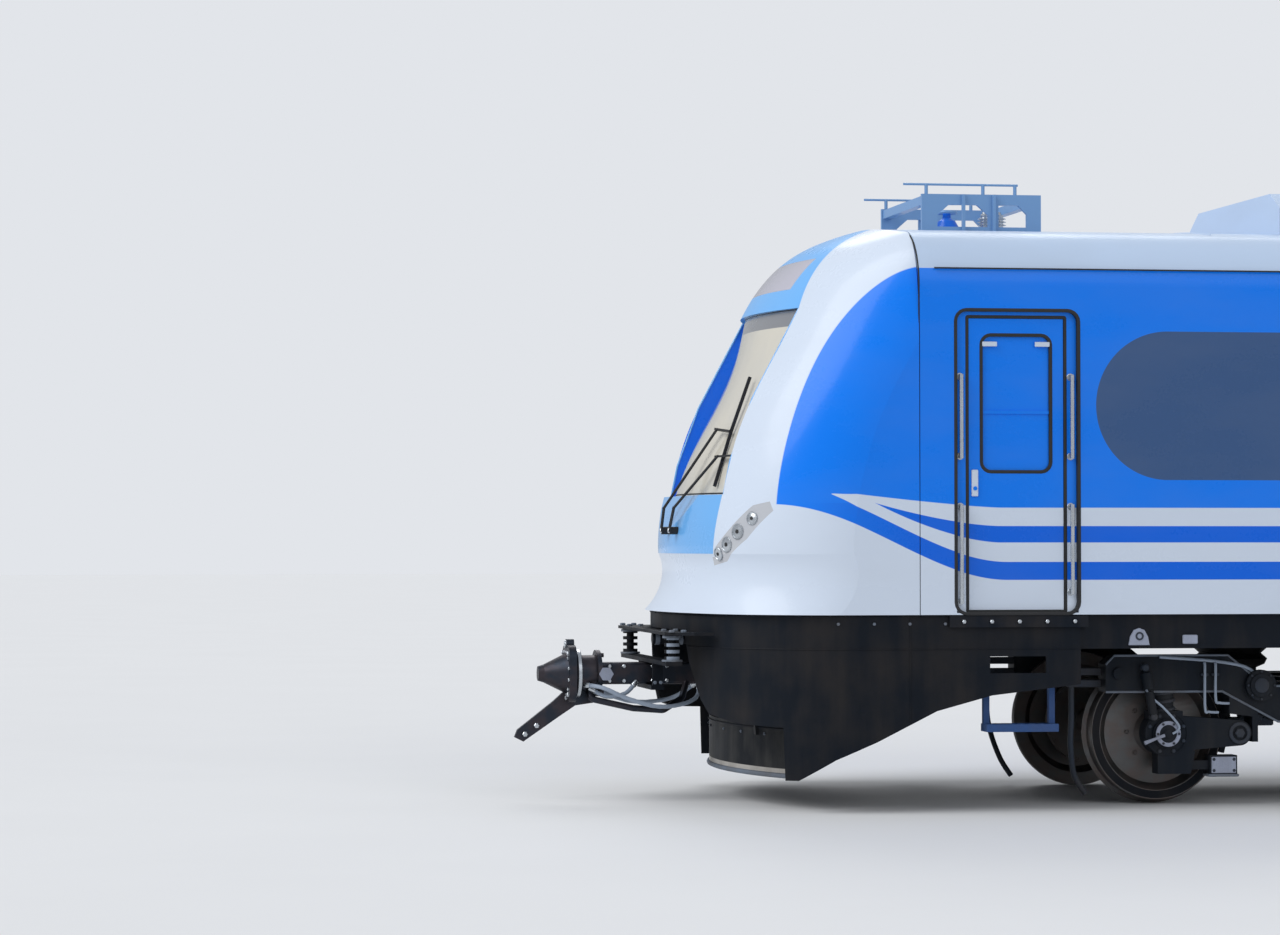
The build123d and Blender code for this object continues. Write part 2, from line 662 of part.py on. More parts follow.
# Underframe with the saloon floor
with BuildPart() as underframe:
    with BuildSketch(Plane.XY.offset(FRAME_BOTTOM)):
        length = BODY_LENGTH - SIDE_START
        with Locations((LIP_X + SIDE_START + length / 2, 0)):
            Rectangle(length, 2 * FRAME_HALF)
        length = SIDE_START - FRAME_FRONT
        with Locations((LIP_X + FRAME_FRONT + length / 2, 0)):
            Rectangle(length, 2 * FRAME_NOSE_HALF)
    extrude(amount=SILL_Z - FRAME_BOTTOM)
    with BuildSketch(Plane.XY.offset(SILL_Z)):
        length = BODY_LENGTH - SIDE_START - WALL
        with Locations((LIP_X + SIDE_START + length / 2, 0)):
            Rectangle(length, 2 * (HALF_WIDTH - WALL))
    extrude(amount=FLOOR_RISE)
underframe.part.label = "underframe"
export_step(underframe.part, "parts/underframe.step")

# Black skirt below the cab, with the coupler bay and a step hole on each side
STEP_HOLE = (1977.0, 380.0, 911.0, 110.0)  # front edge, length, bottom, height
with BuildPart() as front_skirt:
    with BuildSketch(Plane.XY.offset(DEFLECTOR_LOW)):
        add(plan_face(SKIRT_SET, SKIRT_HALF, SKIRT_END))
        inner = plan_face(SKIRT_SET + SKIRT_WALL, SKIRT_HALF - SKIRT_WALL, SKIRT_END + 100)
        add(inner, mode=Mode.SUBTRACT)
    extrude(amount=SILL_Z - DEFLECTOR_LOW)
    with BuildSketch(Plane.XZ.offset(-2 * HALF_WIDTH)):
        with BuildLine():
            edge = [(LIP_X + back, height) for back, height in SKIRT_EDGE]
            first = (LIP_X - 200, SKIRT_EDGE[0][1])
            last = (LIP_X + SKIRT_END + 10, SKIRT_EDGE[-1][1])
            Polyline(first, *edge, last, (last[0], 0), (first[0], 0), close=True)
        make_face()
    extrude(amount=4 * HALF_WIDTH, mode=Mode.SUBTRACT)
    with BuildSketch(Plane.YZ.offset(LIP_X - 300)):
        with BuildLine():
            port = [(-y, z) for y, z in reversed(COUPLER_BAY)]
            Polyline(*COUPLER_BAY, *port, close=True)
        make_face()
    extrude(amount=1100, mode=Mode.SUBTRACT)
    with BuildSketch(Plane.XZ.offset(-2 * HALF_WIDTH)):
        front, length, low, height = STEP_HOLE
        with Locations((LIP_X + front + length / 2, low + height / 2)):
            Rectangle(length, height)
    extrude(amount=4 * HALF_WIDTH, mode=Mode.SUBTRACT)
front_skirt.part.label = "front_skirt"
export_step(front_skirt.part, "parts/front_skirt.step")

# Obstacle deflector with its stays and a tow bar stub on each side
with BuildPart() as deflector:
    with BuildSketch(Plane.XY.offset(DEFLECTOR_LOW)):
        add(plan_face(DEFLECTOR_SET, SKIRT_HALF, CAB_LENGTH + 500))
        inner = plan_face(
            DEFLECTOR_SET + DEFLECTOR_WALL, SKIRT_HALF - DEFLECTOR_WALL, CAB_LENGTH + 600
        )
        add(inner, mode=Mode.SUBTRACT)
        with Locations((LIP_X + DEFLECTOR_SET + DEFLECTOR_LENGTH + HALF_WIDTH, 0)):
            Rectangle(2 * HALF_WIDTH, 3 * HALF_WIDTH, mode=Mode.SUBTRACT)
    extrude(amount=DEFLECTOR_HIGH - DEFLECTOR_LOW)
    for y in (-700, 700):
        with BuildSketch(Plane.XZ.offset(-y + 30)):
            with BuildLine():
                Polyline(
                    (LIP_X + 520, FRAME_BOTTOM),
                    (LIP_X + 760, FRAME_BOTTOM),
                    (LIP_X + 700, 480),
                    (LIP_X + 570, 480),
                    close=True,
                )
            make_face()
        extrude(amount=60)
deflector.part.label = "deflector"
export_step(deflector.part, "parts/deflector.step")

# Coupler carrier: plate, coil springs of stacked turns, beam and stirrup
BEAM_HIGH = COUPLER_Z + SHANK / 2 + 32
SPRING_TOP = CARRIER_TOP - CARRIER_PLATE
with BuildPart() as coupler_support:
    with BuildSketch(Plane.XY.offset(SPRING_TOP)):
        with BuildLine():
            near = [(LIP_X + place, -y) for place, y in CARRIER_EDGE]
            far = [(LIP_X + place, y) for place, y in reversed(CARRIER_EDGE)]
            Polyline(*near, *far, close=True)
        make_face()
    extrude(amount=CARRIER_PLATE)
    pitch = (SPRING_TOP - BEAM_HIGH) / SPRING_TURNS
    for y in (-SPRING_Y, SPRING_Y):
        with BuildSketch(Plane.XZ.offset(-y)):
            middle = (LIP_X + SPRING_RADIUS / 4, (SPRING_TOP + BEAM_HIGH) / 2)
            with Locations(middle):
                Rectangle(SPRING_RADIUS / 2, SPRING_TOP - BEAM_HIGH)
            for turn in range(SPRING_TURNS):
                rise = BEAM_HIGH + pitch * (turn + 0.5)
                with Locations((LIP_X + SPRING_RADIUS / 2, rise)):
                    Rectangle(SPRING_RADIUS, SPRING_WIRE * 2)
        revolve(axis=Axis((LIP_X, y, 0), (0, 0, 1)))
    with Locations((LIP_X, 0, BEAM_HIGH - 14)):
        Box(110, 2 * CARRIER_HALF, 28)
    stirrup = COUPLER_Z - SHANK / 2 - SEAT_GAP - 30
    for y in (-260, 260):
        with Locations((LIP_X, y, (BEAM_HIGH - 28 + stirrup) / 2)):
            Box(70, 30, BEAM_HIGH - 28 - stirrup)
    with Locations((LIP_X, 0, stirrup + 15)):
        Box(90, 550, 30)
    with Locations(Location((LIP_X + 70, -330, SPRING_TOP - 38), (0, 90, 0))):
        Cylinder(38, 240)
coupler_support.part.label = "coupler_support"
export_step(coupler_support.part, "parts/coupler_support.step")

# Front coupler: face plate with hook lug, cone, bolted head, shank, horn and air pipe
FACE_X = LIP_X - COUPLER_FACE
PIPE_RADIUS = 22.0
with BuildPart() as front_coupler:
    with BuildSketch(Plane.YZ.offset(FACE_X)):
        with Locations((0, COUPLER_Z)):
            RectangleRounded(330, 390, 90)
            with Locations((0, 190)):
                RectangleRounded(90, 90, 30)
    extrude(amount=50)
    with BuildSketch(Plane.XZ):
        with BuildLine():
            tip = LIP_X - COUPLER_TIP
            Polyline(
                (tip, COUPLER_Z),
                (tip, COUPLER_Z + 50),
                (tip + 40, COUPLER_Z + 62),
                (FACE_X, COUPLER_Z + 140),
                (FACE_X + 60, COUPLER_Z + 140),
                (FACE_X + 60, COUPLER_Z + 165),
                (FACE_X + 90, COUPLER_Z + 165),
                (FACE_X + 90, COUPLER_Z + 125),
                (FACE_X + 200, COUPLER_Z + 125),
                (FACE_X + 200, COUPLER_Z + 160),
                (FACE_X + 230, COUPLER_Z + 160),
                (FACE_X + 230, COUPLER_Z),
                close=True,
            )
        make_face()
    revolve(axis=Axis((0, 0, COUPLER_Z), (1, 0, 0)))
    bolts = Plane.YZ.offset(FACE_X + 230)
    with BuildSketch(bolts):
        with Locations((0, COUPLER_Z)):
            with PolarLocations(135, 8, 22.5):
                RegularPolygon(16, 6)
    extrude(amount=22)
    with BuildSketch(Plane.YZ.offset(FACE_X + 230)):
        with Locations((0, COUPLER_Z)):
            RectangleRounded(SHANK, SHANK, 20)
    extrude(amount=COUPLER_PIVOT + COUPLER_FACE - 230)
    with Locations((LIP_X + COUPLER_PIVOT, 0, COUPLER_Z)):
        Cylinder(110, SHANK)
    with BuildSketch(Plane.XZ.offset(22)):
        with BuildLine():
            Polyline(
                (FACE_X + 200, COUPLER_Z - 90),
                (FACE_X + 20, COUPLER_Z - 90),
                (FACE_X - 90, COUPLER_Z - 190),
                (LIP_X - HORN_REACH + 20, 480),
                (LIP_X - HORN_REACH, 430),
                (LIP_X - HORN_REACH + 60, 400),
                (FACE_X - 60, COUPLER_Z - 300),
                (FACE_X + 60, COUPLER_Z - 220),
                (FACE_X + 200, COUPLER_Z - 200),
                close=True,
            )
        make_face()
    extrude(amount=-44)
    for x, z in ((-880, 452), (-800, 510)):
        with Locations(Location((LIP_X + x, 0, z), (90, 0, 0))):
            Cylinder(14, 64)
    with BuildLine() as pipe_route:
        FilletPolyline(
            (FACE_X + 150, -60, COUPLER_Z - 100),
            (FACE_X + 150, -110, COUPLER_Z - 170),
            (LIP_X - 150, -150, COUPLER_Z - 235),
            (LIP_X + 60, -150, COUPLER_Z - 250),
            (LIP_X + 200, -100, COUPLER_Z - 170),
            (LIP_X + 240, -60, COUPLER_Z - 60),
            radius=45,
        )
    with BuildSketch(Plane(origin=pipe_route.line @ 0, z_dir=pipe_route.line % 0)):
        Circle(PIPE_RADIUS)
    sweep(path=pipe_route.line)
front_coupler.part.label = "front_coupler"
export_step(front_coupler.part, "parts/front_coupler.step")

# Pocket that carries the coupler's pivot
with BuildPart() as coupler_pocket:
    low = COUPLER_Z + SHANK / 2 + SEAT_GAP
    with BuildSketch(Plane.XZ.offset(-210)):
        with BuildLine():
            Polyline(
                (LIP_X + COUPLER_PIVOT - 160, low),
                (LIP_X + COUPLER_PIVOT + 160, low),
                (LIP_X + COUPLER_PIVOT + 300, FRAME_BOTTOM),
                (LIP_X + COUPLER_PIVOT - 150, FRAME_BOTTOM),
                close=True,
            )
        make_face()
    extrude(amount=420)
coupler_pocket.part.label = "coupler_pocket"
export_step(coupler_pocket.part, "parts/coupler_pocket.step")

# Rear coupler: a short bar with a bolted flange, hung from the underframe
with BuildPart() as rear_coupler:
    with Locations(Location((REAR_X + REAR_REACH / 2 - 150, 0, COUPLER_Z), (0, 90, 0))):
        Cylinder(80, REAR_REACH + 300)
    with BuildSketch(Plane.YZ.offset(REAR_X + REAR_REACH - 45)):
        with Locations((0, COUPLER_Z)):
            Circle(170)
    extrude(amount=45)
    with Locations((REAR_X - 230, 0, (COUPLER_Z - 110 + FRAME_BOTTOM) / 2)):
        Box(300, 320, FRAME_BOTTOM - COUPLER_Z + 110)
rear_coupler.part.label = "rear_coupler"
export_step(rear_coupler.part, "parts/rear_coupler.step")

# Bulkhead between cab and saloon, with a doorway
with BuildPart() as bulkhead:
    with BuildSketch(Plane.YZ.offset(LIP_X + BULKHEAD_X)):
        add(body_section(WALL + SEAT_GAP, FLOOR_Z))
        with Locations((0, (FLOOR_Z + CREW_TOP) / 2)):
            Rectangle(620, CREW_TOP - FLOOR_Z, mode=Mode.SUBTRACT)
    extrude(amount=BULKHEAD)
bulkhead.part.label = "bulkhead"
export_step(bulkhead.part, "parts/bulkhead.step")

# Driver's desk: a sloped console right across the cab
with BuildPart() as driver_desk:
    with BuildSketch(Plane.XZ.offset(-950)):
        with BuildLine():
            Polyline(
                (LIP_X + 820, FLOOR_Z),
                (LIP_X + 1180, FLOOR_Z),
                (LIP_X + 1180, FLOOR_Z + 600),
                (LIP_X + 1400, FLOOR_Z + 700),
                (LIP_X + 1400, FLOOR_Z + 740),
                (LIP_X + 1120, FLOOR_Z + 790),
                (LIP_X + 980, FLOOR_Z + 930),
                (LIP_X + 820, FLOOR_Z + 930),
                close=True,
            )
        make_face()
    extrude(amount=1900)
    with Locations((LIP_X + 1290, 380, FLOOR_Z + 790), (LIP_X + 1290, 720, FLOOR_Z + 790)):
        Cylinder(16, 110)
driver_desk.part.label = "driver_desk"
export_step(driver_desk.part, "parts/driver_desk.step")

# Driver's seat on a pedestal
with BuildPart() as driver_seat:
    with Locations((LIP_X + 1900, 550, FLOOR_Z + 215)):
        Cylinder(60, 430)
    with Locations((LIP_X + 1900, 550, FLOOR_Z + 15)):
        Cylinder(190, 30)
    with Locations((LIP_X + 1900, 550, FLOOR_Z + 485)):
        Box(480, 500, 110)
    with BuildSketch(Plane.XZ.offset(-790)):
        with BuildLine():
            Polyline(
                (LIP_X + 2060, FLOOR_Z + 500),
                (LIP_X + 2150, FLOOR_Z + 500),
                (LIP_X + 2240, FLOOR_Z + 1150),
                (LIP_X + 2160, FLOOR_Z + 1150),
                close=True,
            )
        make_face()
    extrude(amount=480)
    for y in (300, 800):
        with Locations((LIP_X + 1960, y, FLOOR_Z + 690)):
            Box(340, 50, 40)
        with Locations((LIP_X + 2110, y, FLOOR_Z + 610)):
            Box(40, 50, 180)
driver_seat.part.label = "driver_seat"
export_step(driver_seat.part, "parts/driver_seat.step")

# Lengthwise benches along the walls
BENCH_EDGE = 700.0  # doorway to bench
BENCHES = [  # front edge back from the lip, length
    (DOORWAYS[0] + DOORWAY_WIDTH + BENCH_EDGE, BAY - 2 * BENCH_EDGE),
    (DOORWAYS[1] + DOORWAY_WIDTH + BENCH_EDGE, BAY - 2 * BENCH_EDGE),
    (DOORWAYS[2] + DOORWAY_WIDTH + BENCH_EDGE, REAR_BAY - BENCH_EDGE - 550),
]
BENCH = [  # distance from the wall, height over the floor
    (0.0, 60.0),
    (60.0, 60.0),
    (60.0, 340.0),
    (440.0, 400.0),
    (470.0, 440.0),
    (440.0, 455.0),
    (90.0, 430.0),
    (40.0, 900.0),
    (0.0, 900.0),
]
with BuildPart() as benches:
    for front, length in BENCHES:
        for side, sign in SIDES:
            with BuildSketch(Plane.YZ.offset(LIP_X + front)):
                with BuildLine():
                    wall_y = HALF_WIDTH - WALL
                    Polyline(
                        *[(sign * (wall_y - out), FLOOR_Z + up) for out, up in BENCH], close=True
                    )
                make_face()
            extrude(amount=length)
            for share in (0.15, 0.5, 0.85):
                with Locations(
                    (LIP_X + front + length * share, sign * (wall_y - 250), FLOOR_Z + 192)
                ):
                    Box(40, 380, 384)
benches.part.label = "benches"
export_step(benches.part, "parts/benches.step")

# Roof ventilation units with sloped sides, fan wells and side louvres
unit_length, unit_half, unit_rise = ROOF_UNIT
with BuildPart() as roof_units:
    for front in ROOF_UNITS:
        with BuildSketch(Plane.YZ.offset(LIP_X + front)):
            with BuildLine():
                Polyline(
                    (-unit_half, ROOF_Z - 100),
                    (unit_half, ROOF_Z - 100),
                    (unit_half, ROOF_Z + unit_rise * 0.55),
                    (unit_half - 180, ROOF_Z + unit_rise),
                    (-unit_half + 180, ROOF_Z + unit_rise),
                    (-unit_half, ROOF_Z + unit_rise * 0.55),
                    close=True,
                )
            make_face()
            add(body_section(-SEAT_GAP, SILL_Z), mode=Mode.SUBTRACT)
        extrude(amount=unit_length)
        middle_x = LIP_X + front + unit_length / 2
        with BuildSketch(Plane.XY.offset(ROOF_Z + unit_rise)):
            with Locations((middle_x - 420, 0), (middle_x + 420, 0)):
                Circle(330)
                Circle(90, mode=Mode.SUBTRACT)
        extrude(amount=-60, mode=Mode.SUBTRACT)
        with BuildSketch(Plane.XZ.offset(-unit_half)):
            with Locations((middle_x, ROOF_Z + unit_rise * 0.25)):
                with GridLocations(unit_length / 9, 1, 8, 1):
                    Rectangle(unit_length / 9 - 60, unit_rise * 0.4)
        extrude(amount=20, mode=Mode.SUBTRACT)
        with BuildSketch(Plane.XZ.offset(unit_half)):
            with Locations((middle_x, ROOF_Z + unit_rise * 0.25)):
                with GridLocations(unit_length / 9, 1, 8, 1):
                    Rectangle(unit_length / 9 - 60, unit_rise * 0.4)
        extrude(amount=-20, mode=Mode.SUBTRACT)
roof_units.part.label = "roof_units"
export_step(roof_units.part, "parts/roof_units.step")

# Roof cradle above the crew doors: pierced side plates, cross bars and a pipe on posts
CRADLE_MID = LIP_X + CRADLE_FRONT + CRADLE_LENGTH / 2
CRADLE_LOW = ROOF_Z - 60
PIPE_Z = CRADLE_TOP + 66
PIPE_LENGTH = 805.0
PIPE_SHIFT = -143.0  # middle of the pipe ahead of the cradle's middle
PIPE_POSTS = (-385.0, 14.0, 240.0)
with BuildPart() as roof_cradle:
    for side, sign in SIDES:
        with BuildSketch(side_plane(sign, CRADLE_Y + CRADLE_PLATE / 2)):
            with Locations((CRADLE_MID, (CRADLE_LOW + CRADLE_TOP) / 2)):
                Rectangle(CRADLE_LENGTH, CRADLE_TOP - CRADLE_LOW)
            with BuildLine():
                Polyline(
                    (CRADLE_MID - 310, ROOF_Z + 10),
                    (CRADLE_MID - 310, ROOF_Z + 90),
                    (CRADLE_MID - 230, ROOF_Z + 160),
                    (CRADLE_MID - 30, ROOF_Z + 160),
                    (CRADLE_MID + 50, ROOF_Z + 90),
                    (CRADLE_MID + 50, ROOF_Z + 10),
                    close=True,
                )
            make_face(mode=Mode.SUBTRACT)
            with BuildLine():
                Polyline(
                    (CRADLE_MID + 120, ROOF_Z + 10),
                    (CRADLE_MID + 120, ROOF_Z + 160),
                    (CRADLE_MID + 260, ROOF_Z + 160),
                    (CRADLE_MID + 320, ROOF_Z + 100),
                    (CRADLE_MID + 320, ROOF_Z + 10),
                    close=True,
                )
            make_face(mode=Mode.SUBTRACT)
        extrude(amount=sign * CRADLE_PLATE)
        for x in (-130, 85):
            with Locations(
                (CRADLE_MID + x, sign * (CRADLE_Y + 25), (CRADLE_LOW + CRADLE_TOP) / 2)
            ):
                Box(20, 30, CRADLE_TOP - CRADLE_LOW - 4)
    for x in (-CRADLE_LENGTH / 2 + 40, CRADLE_LENGTH / 2 - 40):
        with Locations((CRADLE_MID + x, 0, CRADLE_TOP - 40)):
            Box(60, 2 * CRADLE_Y, 60)
    for side, sign in SIDES:
        pipe_y = sign * CRADLE_Y
        with Locations(Location((CRADLE_MID + PIPE_SHIFT, pipe_y, PIPE_Z), (0, 90, 0))):
            Cylinder(8, PIPE_LENGTH)
        for x in PIPE_POSTS:
            with Locations((CRADLE_MID + x, pipe_y, (CRADLE_TOP + PIPE_Z) / 2)):
                Cylinder(12, PIPE_Z - CRADLE_TOP)
    with BuildSketch(Plane.YZ.offset(LIP_X + SIDE_START)):
        add(body_section(-SEAT_GAP, SILL_Z))
    extrude(amount=2000, mode=Mode.SUBTRACT)
roof_cradle.part.label = "roof_cradle"
export_step(roof_cradle.part, "parts/roof_cradle.step")

# Horn bell and two insulated posts inside the cradle
with BuildPart() as roof_horn:
    with BuildSketch(Plane.XZ):
        with BuildLine():
            Polyline(
                (CRADLE_MID - 90, ROOF_Z - 60),
                (CRADLE_MID - 90 + 105, ROOF_Z - 60),
                (CRADLE_MID - 90 + 100, ROOF_Z + 30),
                (CRADLE_MID - 90 + 60, ROOF_Z + 100),
                (CRADLE_MID - 90 + 30, ROOF_Z + 120),
                (CRADLE_MID - 90 + 26, ROOF_Z + 160),
                (CRADLE_MID - 90, ROOF_Z + 160),
                close=True,
            )
        make_face()
    revolve(axis=Axis((CRADLE_MID - 90, 0, 0), (0, 0, 1)))
    for x in (190, 280):
        with BuildSketch(Plane.XY.offset(ROOF_Z - 60)):
            with Locations((CRADLE_MID + x, 0)):
                Circle(34)
        extrude(amount=200)
    with BuildSketch(Plane.YZ.offset(LIP_X + SIDE_START)):
        add(body_section(-SEAT_GAP, SILL_Z))
    extrude(amount=2000, mode=Mode.SUBTRACT)
roof_horn.part.label = "roof_horn"
export_step(roof_horn.part, "parts/roof_horn.step")

# Boxes below the floor, with raised covers on both sides
UNDER_MIDDLE = FRONT_AXLE + (WHEELBASE + BOGIE_PITCH) / 2  # half-way between the bogies
UNDERFLOOR = [  # name, front edge, length, half width, height, covers
    ("traction_converter", UNDER_MIDDLE - 4100, 3200.0, 1250.0, 620.0, 4),
    ("battery_box", UNDER_MIDDLE - 100, 1900.0, 1300.0, 560.0, 3),
]
for label, front, length, half, height, covers in UNDERFLOOR:
    with BuildPart() as case:
        middle = LIP_X + front + length / 2
        with Locations((middle, 0, FRAME_BOTTOM - height / 2)):
            Box(length, 2 * half, height)
        pitch = length / covers
        for index in range(covers):
            x = middle + (index - (covers - 1) / 2) * pitch
            with Locations((x, 0, FRAME_BOTTOM - height / 2)):
                Box(pitch - 60, 2 * half + 30, height - 120)
    case.part.label = label
    export_step(case.part, f"parts/{label}.step")

# Air tanks with domed ends in straps
TANK_RADIUS = 210.0
TANK_Z = 800.0
TANK_FRONT = UNDER_MIDDLE + 2350
TANK_LENGTH = 1680.0
TANK_DOME = 180.0
TANK_STRAP = 400.0  # straps in from the ends
with BuildPart() as air_tanks:
    tank_start = LIP_X + TANK_FRONT
    tank_end = tank_start + TANK_LENGTH
    for y in (-700, 700):
        with BuildSketch(Plane.XZ.offset(-y)):
            with BuildLine():
                Polyline(
                    (tank_start, TANK_Z),
                    (tank_start + TANK_DOME * 0.15, TANK_Z + TANK_RADIUS * 0.5),
                    (tank_start + TANK_DOME * 0.5, TANK_Z + TANK_RADIUS * 0.85),
                    (tank_start + TANK_DOME, TANK_Z + TANK_RADIUS),
                    (tank_end - TANK_DOME, TANK_Z + TANK_RADIUS),
                    (tank_end - TANK_DOME * 0.5, TANK_Z + TANK_RADIUS * 0.85),
                    (tank_end - TANK_DOME * 0.15, TANK_Z + TANK_RADIUS * 0.5),
                    (tank_end, TANK_Z),
                    close=True,
                )
            make_face()
        revolve(axis=Axis((0, y, TANK_Z), (1, 0, 0)))
        for x in (tank_start + TANK_STRAP, tank_end - TANK_STRAP):
            with Locations(Location((x, y, TANK_Z), (0, 90, 0))):
                Cylinder(TANK_RADIUS + 8, 70)
            with Locations((x, y, (FRAME_BOTTOM + TANK_Z) / 2)):
                Box(70, 160, FRAME_BOTTOM - TANK_Z)
air_tanks.part.label = "air_tanks"
export_step(air_tanks.part, "parts/air_tanks.step")

# Steps below the crew doors: a hanging frame, and a bolted threshold plate
STEP_FRAME = (1960.0, 483.0, 526.0)  # front edge, length, bottom
STEP_TREAD = 50.0
STEP_Y = HALF_WIDTH - 150
THRESHOLD = (1700.0, 935.0, 1212.0, 76.0, 24.0)  # front edge, length, bottom, height, depth
with BuildPart() as crew_steps:
    for side, sign in SIDES:
        front, length, low = STEP_FRAME
        for x in (front + 20, front + length - 20):
            with Locations((LIP_X + x, sign * STEP_Y, (low + FRAME_BOTTOM) / 2)):
                Box(40, 40, FRAME_BOTTOM - low)
        middle_x = LIP_X + front + length / 2
        with Locations((middle_x, sign * (STEP_Y + 30), low + STEP_TREAD / 2)):
            Box(length, 150, STEP_TREAD)
            with Locations((0, 0, STEP_TREAD / 2)):
                with GridLocations(length / 7, 1, 6, 1):
                    Box(length / 7 - 18, 126, STEP_TREAD, mode=Mode.SUBTRACT)
        front, length, low, height, thick = THRESHOLD
        plate_y = SKIRT_HALF + SEAT_GAP + thick / 2
        middle = (LIP_X + front + length / 2, low + height / 2)
        with Locations((middle[0], sign * plate_y, middle[1])):
            Box(length, thick, height)
        with BuildSketch(side_plane(sign, plate_y + thick / 2)):
            with Locations(middle):
                with GridLocations(length / 5, 1, 5, 1):
                    RegularPolygon(13, 6)
        extrude(amount=-sign * 8)
crew_steps.part.label = "crew_steps"
export_step(crew_steps.part, "parts/crew_steps.step")

# Handrails in the crew door niches
with BuildPart() as handrails:
    seat_y = HALF_WIDTH - CREW_NICHE + SEAT_GAP
    rail_y = HALF_WIDTH - CREW_NICHE + RAIL_STAND
    for side, sign in SIDES:
        for back, low, high in RAIL_PLACES:
            with Locations((LIP_X + back, sign * rail_y, (low + high) / 2)):
                Cylinder(RAIL_RADIUS, high - low)
            for z in (low + 14, high - 14):
                with Locations((LIP_X + back, sign * (seat_y + rail_y) / 2, z)):
                    Box(26, rail_y - seat_y, 26)
handrails.part.label = "handrails"
export_step(handrails.part, "parts/handrails.step")

